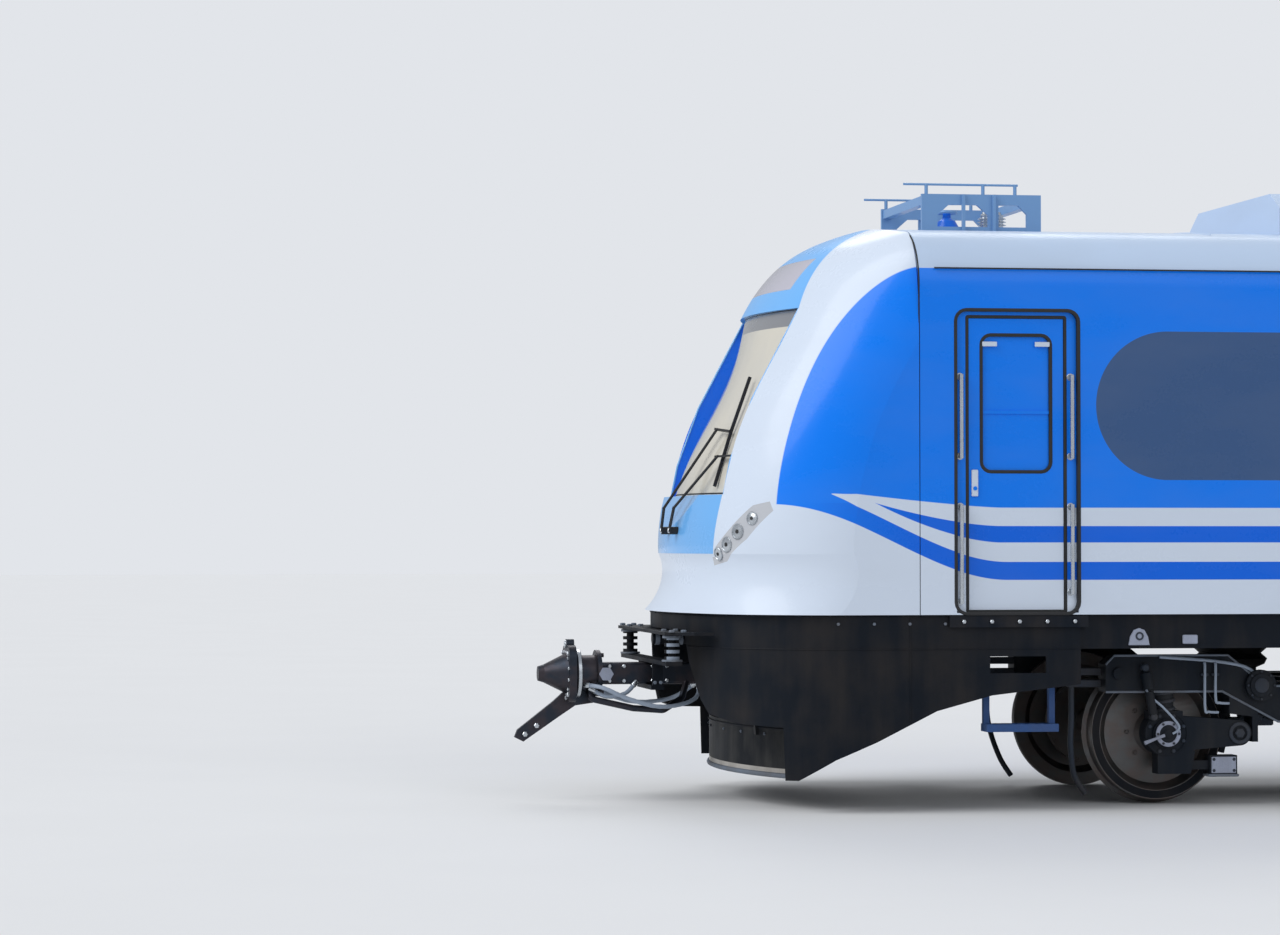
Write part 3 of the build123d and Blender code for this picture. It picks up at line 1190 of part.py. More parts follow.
# Bogies: frame, axle boxes on swing arms, air springs, motors and two wheelsets each
WHEEL_IN = BACK_TO_BACK / 2
WHEEL_OUT = WHEEL_IN + WHEEL_WIDTH
HALF_BASE = WHEELBASE / 2
BEAM_END = HALF_BASE + BEAM_OVERHANG
PIVOT_X = HALF_BASE - ARM_LENGTH
BOX_TOP = AXLE_Z + BOX_RADIUS
BOX_Y = BEAM_Y + BEAM_WIDTH / 2
for place, centre in BOGIES:
    mid_x = LIP_X + centre
    with BuildPart() as bogie_frame:
        for side, sign in SIDES:
            with BuildSketch(side_plane(sign, BOX_Y)):
                with BuildLine():
                    half = [
                        (BEAM_END, BEAM_TOP - 60),
                        (BEAM_END - 60, BEAM_TOP),
                        (820, BEAM_TOP),
                        (560, BEAM_SEAT),
                    ]
                    belly = [
                        (470, BEAM_BELLY),
                        (860, BEAM_LOW),
                        (BEAM_END, BEAM_LOW),
                    ]
                    Polyline(
                        *[(mid_x + x, z) for x, z in half],
                        *[(mid_x - x, z) for x, z in reversed(half)],
                        *[(mid_x - x, z) for x, z in reversed(belly)],
                        *[(mid_x + x, z) for x, z in belly],
                        close=True,
                    )
                make_face()
            extrude(amount=sign * BEAM_WIDTH)
            for axle in (-1, 1):
                with BuildSketch(side_plane(sign, BOX_Y)):
                    with BuildLine():
                        Polyline(
                            (mid_x + axle * (PIVOT_X + 70), BEAM_LOW + 20),
                            (mid_x + axle * (PIVOT_X - 130), BEAM_LOW - 60),
                            (mid_x + axle * (PIVOT_X - 130), AXLE_Z - 60),
                            (mid_x + axle * (PIVOT_X - ARM_RADIUS - 6), AXLE_Z - 60),
                            (mid_x + axle * (PIVOT_X - ARM_RADIUS - 6), AXLE_Z + 110),
                            (mid_x + axle * (PIVOT_X + 70), AXLE_Z + 130),
                            close=True,
                        )
                    make_face()
                extrude(amount=sign * BEAM_WIDTH)
                boss = (mid_x + axle * 600, sign * (BOX_Y + 20), BEAM_TOP - 203)
                with Locations(Location(boss, (90, 0, 0))):
                    Cylinder(105, 40)
                    Cylinder(78, 60)
                ear = (mid_x + axle * (BEAM_END - 85), sign * (BOX_Y + 8), BEAM_TOP - 120)
                with Locations(Location(ear, (90, 0, 0))):
                    Cylinder(38, 30)
        for x in (-TRANSOM_X, TRANSOM_X):
            with Locations((mid_x + x, 0, TRANSOM_Z)):
                Box(TRANSOM, 2 * BEAM_Y - BEAM_WIDTH, 200)
        with Locations((mid_x, 0, TRANSOM_Z)):
            Box(2 * TRANSOM_X, 300, 200)
    bogie_frame.part.label = f"bogie_frame_{place}"
    export_step(bogie_frame.part, f"parts/bogie_frame_{place}.step")

    # Axle boxes: round housing, swing arm to its bush, spring and shoe bracket
    with BuildPart() as axle_boxes:
        for side, sign in SIDES:
            for axle in (-1, 1):
                axle_x = mid_x + axle * HALF_BASE
                pivot_x = mid_x + axle * PIVOT_X
                with BuildSketch(side_plane(sign, BOX_Y)):
                    with Locations((axle_x, AXLE_Z)):
                        Circle(BOX_RADIUS)
                    with Locations((pivot_x, AXLE_Z)):
                        Circle(ARM_RADIUS)
                    with BuildLine():
                        Polyline(
                            (axle_x, AXLE_Z + BOX_RADIUS - 25),
                            (pivot_x, AXLE_Z + ARM_RADIUS),
                            (pivot_x, AXLE_Z - ARM_RADIUS),
                            (axle_x, AXLE_Z - BOX_RADIUS + 25),
                            close=True,
                        )
                    make_face()
                    with Locations((axle_x, AXLE_Z + BOX_RADIUS / 2 + 20)):
                        Rectangle(230, BOX_RADIUS - 40)
                    with BuildLine():
                        Polyline(
                            (axle_x - axle * 110, AXLE_Z - 60),
                            (axle_x + axle * 60, AXLE_Z - 120),
                            (axle_x + axle * 60, AXLE_Z - 270),
                            (axle_x - axle * 170, AXLE_Z - 270),
                            (axle_x - axle * 200, AXLE_Z - 120),
                            close=True,
                        )
                    make_face()
                    with Locations((axle_x, AXLE_Z)):
                        Circle(JOURNAL_RADIUS + SEAT_GAP, mode=Mode.SUBTRACT)
                extrude(amount=sign * (BEAM_WIDTH - 40))
                with BuildSketch(side_plane(sign, BOX_Y)):
                    with Locations((axle_x, AXLE_Z)):
                        Circle(JOURNAL_RADIUS + 28)
                        Circle(JOURNAL_RADIUS + SEAT_GAP, mode=Mode.SUBTRACT)
                extrude(amount=-sign * (CAP - 15))
                with BuildSketch(side_plane(sign, BOX_Y + CAP - 15)):
                    with Locations((axle_x, AXLE_Z)):
                        Circle(JOURNAL_RADIUS + 18)
                extrude(amount=-sign * 15)
                spring = (axle_x, sign * (BOX_Y - 80), (BOX_TOP - 15 + BEAM_LOW) / 2)
                height = BEAM_LOW - BOX_TOP + 15 - SEAT_GAP
                with Locations(spring):
                    Cylinder(72, height)
                shoe = (axle_x - axle * 400, sign * (BOX_Y - 60), AXLE_Z - 214)
                with Locations(shoe):
                    Box(190, 110, 130)
                with Locations((axle_x - axle * 250, sign * (BOX_Y - 60), AXLE_Z - 214)):
                    Box(200, 60, 60)
    axle_boxes.part.label = f"axle_boxes_{place}"
    export_step(axle_boxes.part, f"parts/axle_boxes_{place}.step")

    # Air springs of two rubber bulges between plates
    with BuildPart() as air_springs:
        for side, sign in SIDES:
            y = sign * BEAM_Y
            height = FRAME_BOTTOM - SEAT_GAP - BEAM_SEAT
            with BuildSketch(Plane.XZ.offset(-y)):
                with BuildLine():
                    Polyline(
                        (mid_x, BEAM_SEAT),
                        (mid_x + 190, BEAM_SEAT),
                        (mid_x + 190, BEAM_SEAT + height * 0.15),
                        (mid_x + 250, BEAM_SEAT + height * 0.25),
                        (mid_x + 270, BEAM_SEAT + height * 0.4),
                        (mid_x + 225, BEAM_SEAT + height * 0.55),
                        (mid_x + 270, BEAM_SEAT + height * 0.7),
                        (mid_x + 250, BEAM_SEAT + height * 0.85),
                        (mid_x + 290, BEAM_SEAT + height * 0.9),
                        (mid_x + 290, BEAM_SEAT + height),
                        (mid_x, BEAM_SEAT + height),
                        close=True,
                    )
                make_face()
            revolve(axis=Axis((mid_x, y, 0), (0, 0, 1)))
    air_springs.part.label = f"air_springs_{place}"
    export_step(air_springs.part, f"parts/air_springs_{place}.step")

    # Motors, each bracketed to a transom, with a gear case towards its axle
    with BuildPart() as motors:
        for axle in (-1, 1):
            motor_x = mid_x + axle * (HALF_BASE - MOTOR_OFFSET)
            with Locations(Location((motor_x, 0, AXLE_Z + 60), (90, 0, 0))):
                Cylinder(MOTOR_RADIUS, 900)
                Cylinder(MOTOR_RADIUS - 60, 1040)
            seat = TRANSOM_X + TRANSOM / 2 + SEAT_GAP
            arm = HALF_BASE - MOTOR_OFFSET - MOTOR_RADIUS + 20 - seat
            with Locations((mid_x + axle * (seat + arm / 2), 0, TRANSOM_Z)):
                Box(arm, 500, 180)
    motors.part.label = f"motors_{place}"
    export_step(motors.part, f"parts/motors_{place}.step")

    for position, axle in (("front", -1), ("rear", 1)):
        axle_x = mid_x + axle * HALF_BASE
        tread = AXLE_Z + WHEEL_RADIUS
        hub = AXLE_Z + AXLE_RADIUS
        with BuildPart() as wheelset:
            with BuildSketch(Plane.YZ.offset(axle_x)):
                with BuildLine():
                    Polyline(
                        (-JOURNAL_HALF, AXLE_Z),
                        (-JOURNAL_HALF, AXLE_Z + JOURNAL_RADIUS),
                        (-WHEEL_OUT - 20, AXLE_Z + JOURNAL_RADIUS),
                        (-WHEEL_OUT - 20, hub + 30),
                        (-WHEEL_OUT + 20, hub + 60),
                        (-WHEEL_OUT + 50, tread - 110),
                        (-WHEEL_OUT, tread - 65),
                        (-WHEEL_OUT, tread - 5),
                        (-WHEEL_OUT + 5, tread),
                        (-WHEEL_IN - 34, tread),
                        (-WHEEL_IN - 24, tread + FLANGE),
                        (-WHEEL_IN, tread + FLANGE - 6),
                        (-WHEEL_IN, tread - 65),
                        (-WHEEL_IN - 50, tread - 110),
                        (-WHEEL_IN - 40, hub + 60),
                        (-WHEEL_IN + 30, hub + 30),
                        (-WHEEL_IN + 30, hub),
                        (-620, hub),
                        (-620, hub + 210),
                        (-560, hub + 210),
                        (-560, hub),
                        (0, hub),
                        (0, AXLE_Z),
                        close=True,
                    )
                make_face()
            revolve(axis=Axis((axle_x, 0, AXLE_Z), (0, 1, 0)))
            mirror(about=Plane.XZ)
        wheelset.part.label = f"wheelset_{place}_{position}"
        export_step(wheelset.part, f"parts/wheelset_{place}_{position}.step")
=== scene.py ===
"""Looks of the driving motor car of an electric passenger train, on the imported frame.

The frame's X runs from the cab end to the rear and Z is up, in metres. Places along the car
are measured back from the lip of the nose, as in the part's source. A side of the car is
told by the sign of its Y.
"""

import logging
import math
from dataclasses import dataclass
from enum import Enum
from typing import Sequence, TypeAlias

import bmesh
import bpy
import numpy as np
from mathutils.bvhtree import BVHTree
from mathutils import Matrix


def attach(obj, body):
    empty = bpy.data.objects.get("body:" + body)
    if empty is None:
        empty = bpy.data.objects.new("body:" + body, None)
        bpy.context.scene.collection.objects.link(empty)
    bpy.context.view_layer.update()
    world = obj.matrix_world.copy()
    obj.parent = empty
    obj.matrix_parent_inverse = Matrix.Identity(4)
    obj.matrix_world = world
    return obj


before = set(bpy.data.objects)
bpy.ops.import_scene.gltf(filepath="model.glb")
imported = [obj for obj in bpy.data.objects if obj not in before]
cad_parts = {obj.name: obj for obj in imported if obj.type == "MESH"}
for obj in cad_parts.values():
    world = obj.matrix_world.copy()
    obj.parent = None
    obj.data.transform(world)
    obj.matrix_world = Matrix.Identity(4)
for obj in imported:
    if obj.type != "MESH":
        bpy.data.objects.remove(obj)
log = logging.getLogger("scene")

Colour: TypeAlias = tuple[float, float, float, float]
Pairs: TypeAlias = Sequence[tuple[float, float]]
Place: TypeAlias = Sequence[float]
Shape: TypeAlias = tuple[np.ndarray, np.ndarray]
Value: TypeAlias = "float | Colour | bpy.types.NodeSocket"

LIP_X = -11.55
SILL_Z = 1.294
FLOOR_Z = 1.318
GUTTER_Z = 3.561
ROOF_Z = 3.913
HALF_WIDTH = 1.55
CANT_Z = 3.448  # the side turns into the cant arc here
CANT_RADIUS = 0.38
DOORWAYS = (5.65, 11.95, 18.25)
DOORWAY_WIDTH = 1.3
DOOR_TOP = 3.241
WINDOWS = ((4.2, 0.62), (7.8, 1.4), (9.7, 1.4), (14.1, 1.4), (16.0, 1.4), (20.5, 1.4))
WINDOW_LOW = 2.218
WINDOW_HEIGHT = 0.87
NOSE_RADIUS = 2.47  # plan arc of the front
NOSE_LENGTH = 1.05  # how far its corner arcs reach back
AXLE_Z = 0.4855
WHEELBASE = 2.5
BOGIES = {"front": 4.55, "rear": 20.25}
SIDES = {"left": 1.0, "right": -1.0}
ENDS = {"front": -1.0, "rear": 1.0}
ORDER = {"x": (2, 0, 1), "y": (0, 2, 1), "z": (0, 1, 2)}  # from across, across and along
EDGE = 0.003  # soft edge between two colours
MERGE = 1e-5  # points closer than this become one
SMOOTH_ANGLE = math.radians(35.0)


def srgb(red: float, green: float, blue: float) -> Colour:
    """Colour as seen on a screen, made linear.

    Args:
        red, green, blue: 0 to 255.

    Returns:
        Linear red, green, blue and an alpha of 1.
    """
    parts = (channel / 255 for channel in (red, green, blue))
    linear = (c / 12.92 if c <= 0.04045 else ((c + 0.055) / 1.055) ** 2.4 for c in parts)
    return (*linear, 1.0)


def tone(colour: Colour, factor: float, lift: float = 0.0) -> Colour:
    """Colour made darker or paler.

    Args:
        colour: Linear colour.
        factor: What each channel is multiplied by.
        lift: What is added to it then.

    Returns:
        The new colour, no channel above 1.
    """
    return (*(min(1.0, channel * factor + lift) for channel in colour[:3]), 1.0)


class Wear(Enum):
    """How much the weather shows on a finish."""

    CLEAN = 0.0
    USED = 0.5
    DIRTY = 1.0


class Graph:
    """Node tree of one material, with short calls for the sums that its patterns need."""

    def __init__(self, name: str) -> None:
        """Starts a material with a Principled shader.

        Args:
            name: The material's name.
        """
        self.material = bpy.data.materials.new(name)
        self.material.use_nodes = True
        self.tree = self.material.node_tree
        self.shader = self.tree.nodes["Principled BSDF"]
        coordinates = self.tree.nodes.new("ShaderNodeTexCoord")
        self.place = coordinates.outputs["Object"]
        self.normal = coordinates.outputs["Normal"]

    def feed(self, socket: bpy.types.NodeSocket, value: Value) -> None:
        """Links a socket to another, or sets its plain value.

        Args:
            socket: Input of a node.
            value: Output of another node, or a number or colour.
        """
        if isinstance(value, bpy.types.NodeSocket):
            self.tree.links.new(value, socket)
        else:
            socket.default_value = value

    def math(self, how: str, *values: Value, clamp: bool = False) -> Value:
        """One sum.

        Args:
            how: Operation of Blender's math node.
            values: Up to three values.
            clamp: Whether the result is held between 0 and 1.

        Returns:
            The result.
        """
        node = self.tree.nodes.new("ShaderNodeMath")
        node.operation = how
        node.use_clamp = clamp
        for socket, value in zip(node.inputs, values):
            self.feed(socket, value)
        return node.outputs[0]

    def line(self, value: Value, slope: float, start: Value, clamp: bool = False) -> Value:
        """A value times a slope plus a start.

        Args:
            value: Value.
            slope: Factor.
            start: Result where the value is 0.
            clamp: Whether the result is held between 0 and 1.

        Returns:
            The result.
        """
        return self.math("MULTIPLY_ADD", value, slope, start, clamp=clamp)

    def ramp(self, value: Value, start: float, end: float, clamp: bool = True) -> Value:
        """0 at a start, 1 at an end, and even between them.

        Args:
            value: Value.
            start: Where the result is 0.
            end: Where the result is 1.
            clamp: Whether the result stays at 0 and 1 beyond them.

        Returns:
            The result.
        """
        return self.line(value, 1 / (end - start), -start / (end - start), clamp)

    def times(self, *values: Value) -> Value:
        """Product.

        Args:
            values: Masks or numbers.

        Returns:
            The product.
        """
        result = values[0]
        for value in values[1:]:
            result = self.math("MULTIPLY", result, value)
        return result

    def flip(self, mask: Value) -> Value:
        """What is left of a mask.

        Args:
            mask: 0 to 1.

        Returns:
            1 less the mask.
        """
        return self.math("SUBTRACT", 1.0, mask)

    def above(self, value: Value, limit: Value, soft: float = EDGE) -> Value:
        """1 where a value is above a limit, 0 below it.

        Args:
            value: Value.
            limit: Limit.
            soft: Width of the edge between the two.

        Returns:
            The mask.
        """
        return self.line(self.math("SUBTRACT", value, limit), 1 / soft, 0.5, clamp=True)

    def below(self, value: Value, limit: Value, soft: float = EDGE) -> Value:
        """1 where a value is below a limit, 0 above it.

        Args:
            value: Value.
            limit: Limit.
            soft: Width of the edge between the two.

        Returns:
            The mask.
        """
        return self.flip(self.above(value, limit, soft))

    def between(self, value: Value, low: float, high: float) -> Value:
        """1 where a value lies between two limits, 0 outside.

        Args:
            value: Value.
            low: Lower limit.
            high: Upper limit.

        Returns:
            The mask.
        """
        return self.times(self.above(value, low), self.below(value, high))

    def split(self, vector: bpy.types.NodeSocket) -> list[bpy.types.NodeSocket]:
        """Parts of a vector.

        Args:
            vector: Vector.

        Returns:
            X, Y and Z.
        """
        node = self.tree.nodes.new("ShaderNodeSeparateXYZ")
        self.feed(node.inputs[0], vector)
        return list(node.outputs)

    def noise(self, scale: float, detail: float = 3.0, stretch: Place = (1.0, 1.0, 1.0)) -> Value:
        """Cloudy pattern on the object's own coordinates.

        Args:
            scale: Clouds for each metre.
            detail: Octaves.
            stretch: Factor of the coordinates along X, Y and Z.

        Returns:
            Value from 0 to 1.
        """
        mapping = self.tree.nodes.new("ShaderNodeMapping")
        self.feed(mapping.inputs["Vector"], self.place)
        mapping.inputs["Scale"].default_value = stretch
        node = self.tree.nodes.new("ShaderNodeTexNoise")
        self.feed(node.inputs["Vector"], mapping.outputs[0])
        node.inputs["Scale"].default_value = scale
        node.inputs["Detail"].default_value = detail
        return node.outputs[0]

    def mix(self, factor: Value, first: Value, second: Value) -> Value:
        """Second colour over the first one.

        Args:
            factor: Share of the second colour.
            first: Colour below.
            second: Colour above.

        Returns:
            The mixed colour.
        """
        node = self.tree.nodes.new("ShaderNodeMix")
        node.data_type = "RGBA"
        sockets = (node.inputs["Factor"], *node.inputs[6:8])
        for socket, value in zip(sockets, (factor, first, second)):
            self.feed(socket, value)
        return node.outputs[2]

    def bump(self, height: Value, distance: float, strength: float) -> None:
        """Feeds the shader's normal with a height.

        Args:
            height: Pattern from 0 to 1.
            distance: Depth in metres.
            strength: Share of it that shows.
        """
        node = self.tree.nodes.new("ShaderNodeBump")
        node.inputs["Distance"].default_value = distance
        node.inputs["Strength"].default_value = strength
        self.feed(node.inputs["Height"], height)
        self.feed(self.shader.inputs["Normal"], node.outputs[0])

    def set(self, **values: Value) -> None:
        """Sets or links the shader's inputs.

        Args:
            values: Value for each input, named with _ for a space.
        """
        for name, value in values.items():
            self.feed(self.shader.inputs[name.replace("_", " ")], value)


@dataclass(frozen=True)
class Finish:
    """A procedural finish with one main colour."""

    name: str
    colour: Colour

    def fill(self, graph: Graph) -> None:
        """Lays the pattern; each kind of finish has its own.

        Args:
            graph: The material in the making.
        """
        raise NotImplementedError

    def make(self) -> bpy.types.Material:
        """Makes the material.

        Returns:
            The finished material.
        """
        graph = Graph(self.name)
        self.fill(graph)
        return graph.material


@dataclass(frozen=True)
class Paint(Finish):
    """Sprayed paint under a clear coat, with dust and faint waves in the sheet metal."""

    roughness: float = 0.28
    coat: float = 0.12
    wear: Wear = Wear.USED

    def cover(self, graph: Graph, colour: Value) -> bpy.types.Material:
        """Adds dust, waves and gloss over a colour.

        Args:
            graph: The material in the making.
            colour: A colour, or the socket of a pattern.

        Returns:
            The finished material.
        """
        dust = graph.above(graph.noise(2.2, 6.0, (0.5, 0.5, 1.4)), 0.56, 0.3)
        amount = graph.times(dust, 0.1 * self.wear.value)
        rough = graph.line(graph.noise(38.0, 4.0), 0.05, self.roughness - 0.02)
        graph.set(
            Base_Color=graph.mix(amount, colour, srgb(150, 150, 145)),
            Roughness=graph.line(amount, 1.5, rough),
            Coat_Weight=self.coat,
            Coat_Roughness=0.08,
            Specular_IOR_Level=0.2,
        )
        graph.bump(graph.noise(1.3, 2.0, (0.4, 1.0, 1.0)), 0.004, 0.35)
        return graph.material

    def fill(self, graph: Graph) -> None:
        """One paint colour, a little darker in clouds.

        Args:
            graph: The material in the making.
        """
        cloud = graph.noise(0.7, 2.0)
        self.cover(graph, graph.mix(cloud, tone(self.colour, 0.92), self.colour))


@dataclass(frozen=True)
class Grime(Finish):
    """Matt underbody paint with road dust, brake dust and oil.

    An accent colour fills a box, given as low and high limits along X, across from the
    middle, and up.
    """

    dust: Colour = srgb(96, 84, 70)
    amount: float = 0.5
    accent: Colour = srgb(150, 162, 178)
    spot: tuple[tuple[float, float], ...] = ()

    def fill(self, graph: Graph) -> None:
        """Dust in clouds and streaks over the paint.

        Args:
            graph: The material in the making.
        """
        plain = self.colour
        if self.spot:
            x, y, z = graph.split(graph.place)
            places = (x, graph.math("ABSOLUTE", y), z)
            inside = [graph.between(value, *limits) for value, limits in zip(places, self.spot)]
            plain = graph.mix(graph.times(*inside), self.colour, self.accent)
        cloud = graph.noise(3.5, 7.0)
        grain = graph.noise(120.0, 3.0)
        both = graph.line(graph.noise(7.0, 5.0, (1.0, 1.0, 0.15)), 0.5, graph.times(cloud, 0.5))
        mask = graph.times(graph.above(both, 0.53, 0.22), self.amount)
        colour = graph.mix(mask, plain, self.dust)
        graph.set(
            Base_Color=graph.mix(graph.times(grain, 0.25), colour, srgb(12, 14, 18)),
            Metallic=0.0,
            Specular_IOR_Level=0.15,
            Roughness=graph.line(cloud, 0.35, 0.42),
        )
        graph.bump(graph.line(grain, 0.3, cloud), 0.003, 0.4)


@dataclass(frozen=True)
class Metal(Finish):
    """Bare or plated metal with brush lines, dull patches and a little rust."""

    roughness: float = 0.3
    rust: float = 0.0

    def fill(self, graph: Graph) -> None:
        """Fine lines, and rust where the clouds are thick.

        Args:
            graph: The material in the making.
        """
        lines = graph.noise(60.0, 3.0, (0.08, 1.0, 1.0))
        cloud = graph.noise(9.0, 5.0)
        mask = graph.times(graph.above(cloud, 0.5, 0.2), self.rust)
        colour = graph.mix(cloud, tone(self.colour, 0.7), self.colour)
        graph.set(
            Base_Color=graph.mix(mask, colour, srgb(92, 58, 38)),
            Metallic=graph.math("SUBTRACT", 0.95, graph.times(mask, 0.8)),
            Roughness=graph.line(lines, 0.25, self.roughness - 0.1),
        )
        graph.bump(lines, 0.0006, 0.4)


@dataclass(frozen=True)
class Soft(Finish):
    """Rubber, plastic or cloth: no metal, with a fine grain."""

    roughness: float = 0.7
    grain: float = 400.0
    depth: float = 0.0008
    sheen: float = 0.0

    def fill(self, graph: Graph) -> None:
        """Grain and slightly uneven colour.

        Args:
            graph: The material in the making.
        """
        grain = graph.noise(self.grain, 2.0)
        graph.set(
            Base_Color=graph.mix(graph.noise(6.0, 4.0), self.colour, tone(self.colour, 1.35, 0.01)),
            Roughness=graph.line(grain, 0.2, self.roughness - 0.1),
            Sheen_Weight=self.sheen,
        )
        graph.bump(grain, self.depth, 0.5)


@dataclass(frozen=True)
class Pane(Finish):
    """Window glass with a film of dust, partly see-through, and from a height up a grey band of
    painted shade.
    """

    alpha: float = 0.75
    roughness: float = 0.06
    shade_low: float = 0.0
    shade_high: float = 3.4

    def fill(self, graph: Graph) -> None:
        """Dust in clouds, and the grey band of painted shade if there is one.

        Args:
            graph: The material in the making.
        """
        mask = graph.times(graph.above(graph.noise(1.4, 5.0), 0.5, 0.4), 0.18)
        shade = graph.mix(mask, self.colour, srgb(150, 164, 186))
        if self.shade_low:
            # painted shade: the glass turns grey from a given height up to a top height
            height = graph.split(graph.place)[2]
            cover = graph.between(height, self.shade_low, self.shade_high)
            shade = graph.mix(cover, shade, srgb(138, 140, 144))
        graph.set(
            Base_Color=shade,
            Roughness=graph.line(mask, 0.6, self.roughness),
            Alpha=self.alpha,
            Coat_Weight=0.6,
            Coat_Roughness=0.03,
            IOR=1.5,
        )


@dataclass(frozen=True)
class Livery:
    """Blue, white and dark band on the body, as measured along the car.

    Lengths are in metres: places back from the lip, heights from the ground. An easing edge
    is given by where it starts, its power, its rise there and the height it runs out to.
    """

    blue: Colour = srgb(0, 122, 240)
    stripe_blue: Colour = srgb(0, 100, 222)
    white: Colour = srgb(208, 219, 234)
    band: Colour = srgb(58, 88, 132)
    light: Colour = srgb(112, 180, 242)
    recess: Colour = srgb(10, 112, 250)
    tip_x: float = 0.917
    tip_length: float = 0.16
    split_x: float = 1.198
    level_x: float = 2.05
    top: Place = (0.917, 1.3, 0.107, 1.994)
    upper: Place = (1.198, 1.6, 0.15, 1.874)
    middle: Place = (1.198, 1.65, 0.258, 1.766)
    foot_fall: Place = (0.55, 2.1)
    foot_end: float = 1.521
    foot_rise: float = 0.496
    foot_band: float = 0.118
    arch: Pairs = ((1.52, 0.585), (1.916, 3.571))
    arch_power: float = 1.7
    band_ends: Place = (2.69, 23.2)
    band_heights: Place = (2.177, 3.156)
    panel_low: float = 1.69
    screen_high: float = 3.331
    screen_half: float = 0.945
    crown: Pairs = ((3.331, 0.919), (4.113, 0.644))
    paint: Paint = Paint("livery", srgb(255, 255, 255), roughness=0.26)

    def ease(self, graph: Graph, x: Value, edge: Place) -> Value:
        """Height of an edge that eases out to a level run.

        What is left of the way, from 1 at the start to 0 where it runs level, is raised to
        the power, and that share of the rise stands on the level height.

        Args:
            graph: The material in the making.
            x: Place back from the lip.
            edge: Start, power, rise and level height.

        Returns:
            The height.
        """
        start, power, rise, level = edge
        left = graph.math("POWER", graph.ramp(x, self.level_x, start), power)
        return graph.line(left, rise, level)

    def stripes(self, graph: Graph, x: Value, z: Value) -> tuple[Value, Value]:
        """Masks of the white and of the darker blue parts of the swoosh.

        The foot falls as a smooth step, t * t * (3 - 2 t). The tip opens by a power of the
        way behind it.

        Args:
            graph: The material in the making.
            x: Place back from the lip.
            z: Height.

        Returns:
            White mask and darker blue mask.
        """
        share = graph.ramp(x, *self.foot_fall)
        step = graph.times(share, share, graph.line(share, -2.0, 3.0))
        foot = graph.line(step, -self.foot_rise, self.foot_end + self.foot_rise)
        low = graph.math("ADD", foot, self.foot_band)
        top, upper, middle = (
            self.ease(graph, x, edge) for edge in (self.top, self.upper, self.middle)
        )
        open_tip = graph.ramp(x, self.tip_x, self.tip_x + self.tip_length)
        opening = graph.math("POWER", open_tip, 0.6)
        centre = graph.times(graph.math("ADD", top, low), 0.5)
        reach = graph.times(graph.math("SUBTRACT", top, low), 0.5, opening)
        whole = graph.times(
            graph.above(x, self.tip_x),
            graph.below(z, graph.math("ADD", centre, reach)),
            graph.above(z, graph.math("SUBTRACT", centre, reach)),
        )
        under_slot = graph.below(z, upper)
        slot = graph.times(graph.above(x, self.split_x), under_slot, graph.above(z, middle))
        stripe = graph.times(whole, graph.flip(slot))
        white = graph.math("MAXIMUM", stripe, graph.below(z, foot))
        return white, graph.times(graph.above(x, self.tip_x + 0.2, 0.8), under_slot)

    def base(self, graph: Graph) -> tuple[Value, Value, Value, Value, Value]:
        """What both paints start from.

        Args:
            graph: The material in the making.

        Returns:
            Place back from the lip, Y, height, white mask, and the two blues.
        """
        x, y, z = graph.split(graph.place)
        x = graph.math("SUBTRACT", x, LIP_X)
        white, dark = self.stripes(graph, x, z)
        return x, y, z, white, graph.mix(dark, self.blue, self.stripe_blue)

    def side(self) -> bpy.types.Material:
        """Paint of the sides: stripes, dark window band, and white at the gutter.

        The band is a long box with round ends: where the distance to the box's inner line,
        the box shrunk by its half height, is below that half height.

        Returns:
            The material.
        """
        graph = Graph("body_livery")
        x, _, z, white, colour = self.base(graph)
        low, high = self.band_heights
        half = (high - low) / 2
        start, end = self.band_ends
        inner = graph.math("MAXIMUM", graph.math("MINIMUM", x, end - half), start + half)
        away_x = graph.math("SUBTRACT", x, inner)
        away_z = graph.math("SUBTRACT", z, (high + low) / 2)
        squares = graph.math("ADD", graph.times(away_x, away_x), graph.times(away_z, away_z))
        colour = graph.mix(graph.below(graph.math("SQRT", squares), half), colour, self.band)
        colour = graph.mix(white, colour, self.white)
        colour = graph.mix(graph.above(z, GUTTER_Z - 0.001), colour, self.white)
        return self.paint.cover(graph, colour)

    def shell(self) -> bpy.types.Material:
        """Paint of the cab shell: white ribs and chin, blue flanks, light-blue top.

        The flank lies under an arch: the ways ahead of and above its foot, each as a share
        and raised to a power, add up to less than 1. The walls of the screen's recess are
        told by their sideways normal, and the top's half width narrows with height.

        Returns:
            The material.
        """
        graph = Graph("cab_livery")
        x, y, z, white, blue = self.base(graph)
        wide = graph.math("ABSOLUTE", y)
        ways = []
        for value, (start, end) in zip((x, z), self.arch):
            way = graph.math("MAXIMUM", graph.ramp(value, start, end, clamp=False), 0.0)
            ways.append(graph.math("POWER", way, self.arch_power))
        arch = graph.math("ADD", *ways)
        flank = graph.times(
            graph.below(arch, 1.0, 0.008), graph.above(wide, 1.0, 0.01), graph.flip(white)
        )
        colour = graph.mix(flank, self.white, blue)
        sideways = graph.math("ABSOLUTE", graph.split(graph.normal)[1])
        wall = graph.times(
            graph.above(sideways, 0.75, 0.1),
            graph.below(wide, self.screen_half, 0.004),
            graph.between(z, self.panel_low, self.screen_high + 0.01),
        )
        colour = graph.mix(wall, colour, self.recess)
        (low, half_low), (high, half_high) = self.crown
        slope = (half_high - half_low) / (high - low)
        crown = graph.times(
            graph.above(z, self.screen_high, 0.004),
            graph.below(wide, graph.line(z, slope, half_low - low * slope), 0.004),
        )
        return self.paint.cover(graph, graph.mix(crown, colour, self.light))


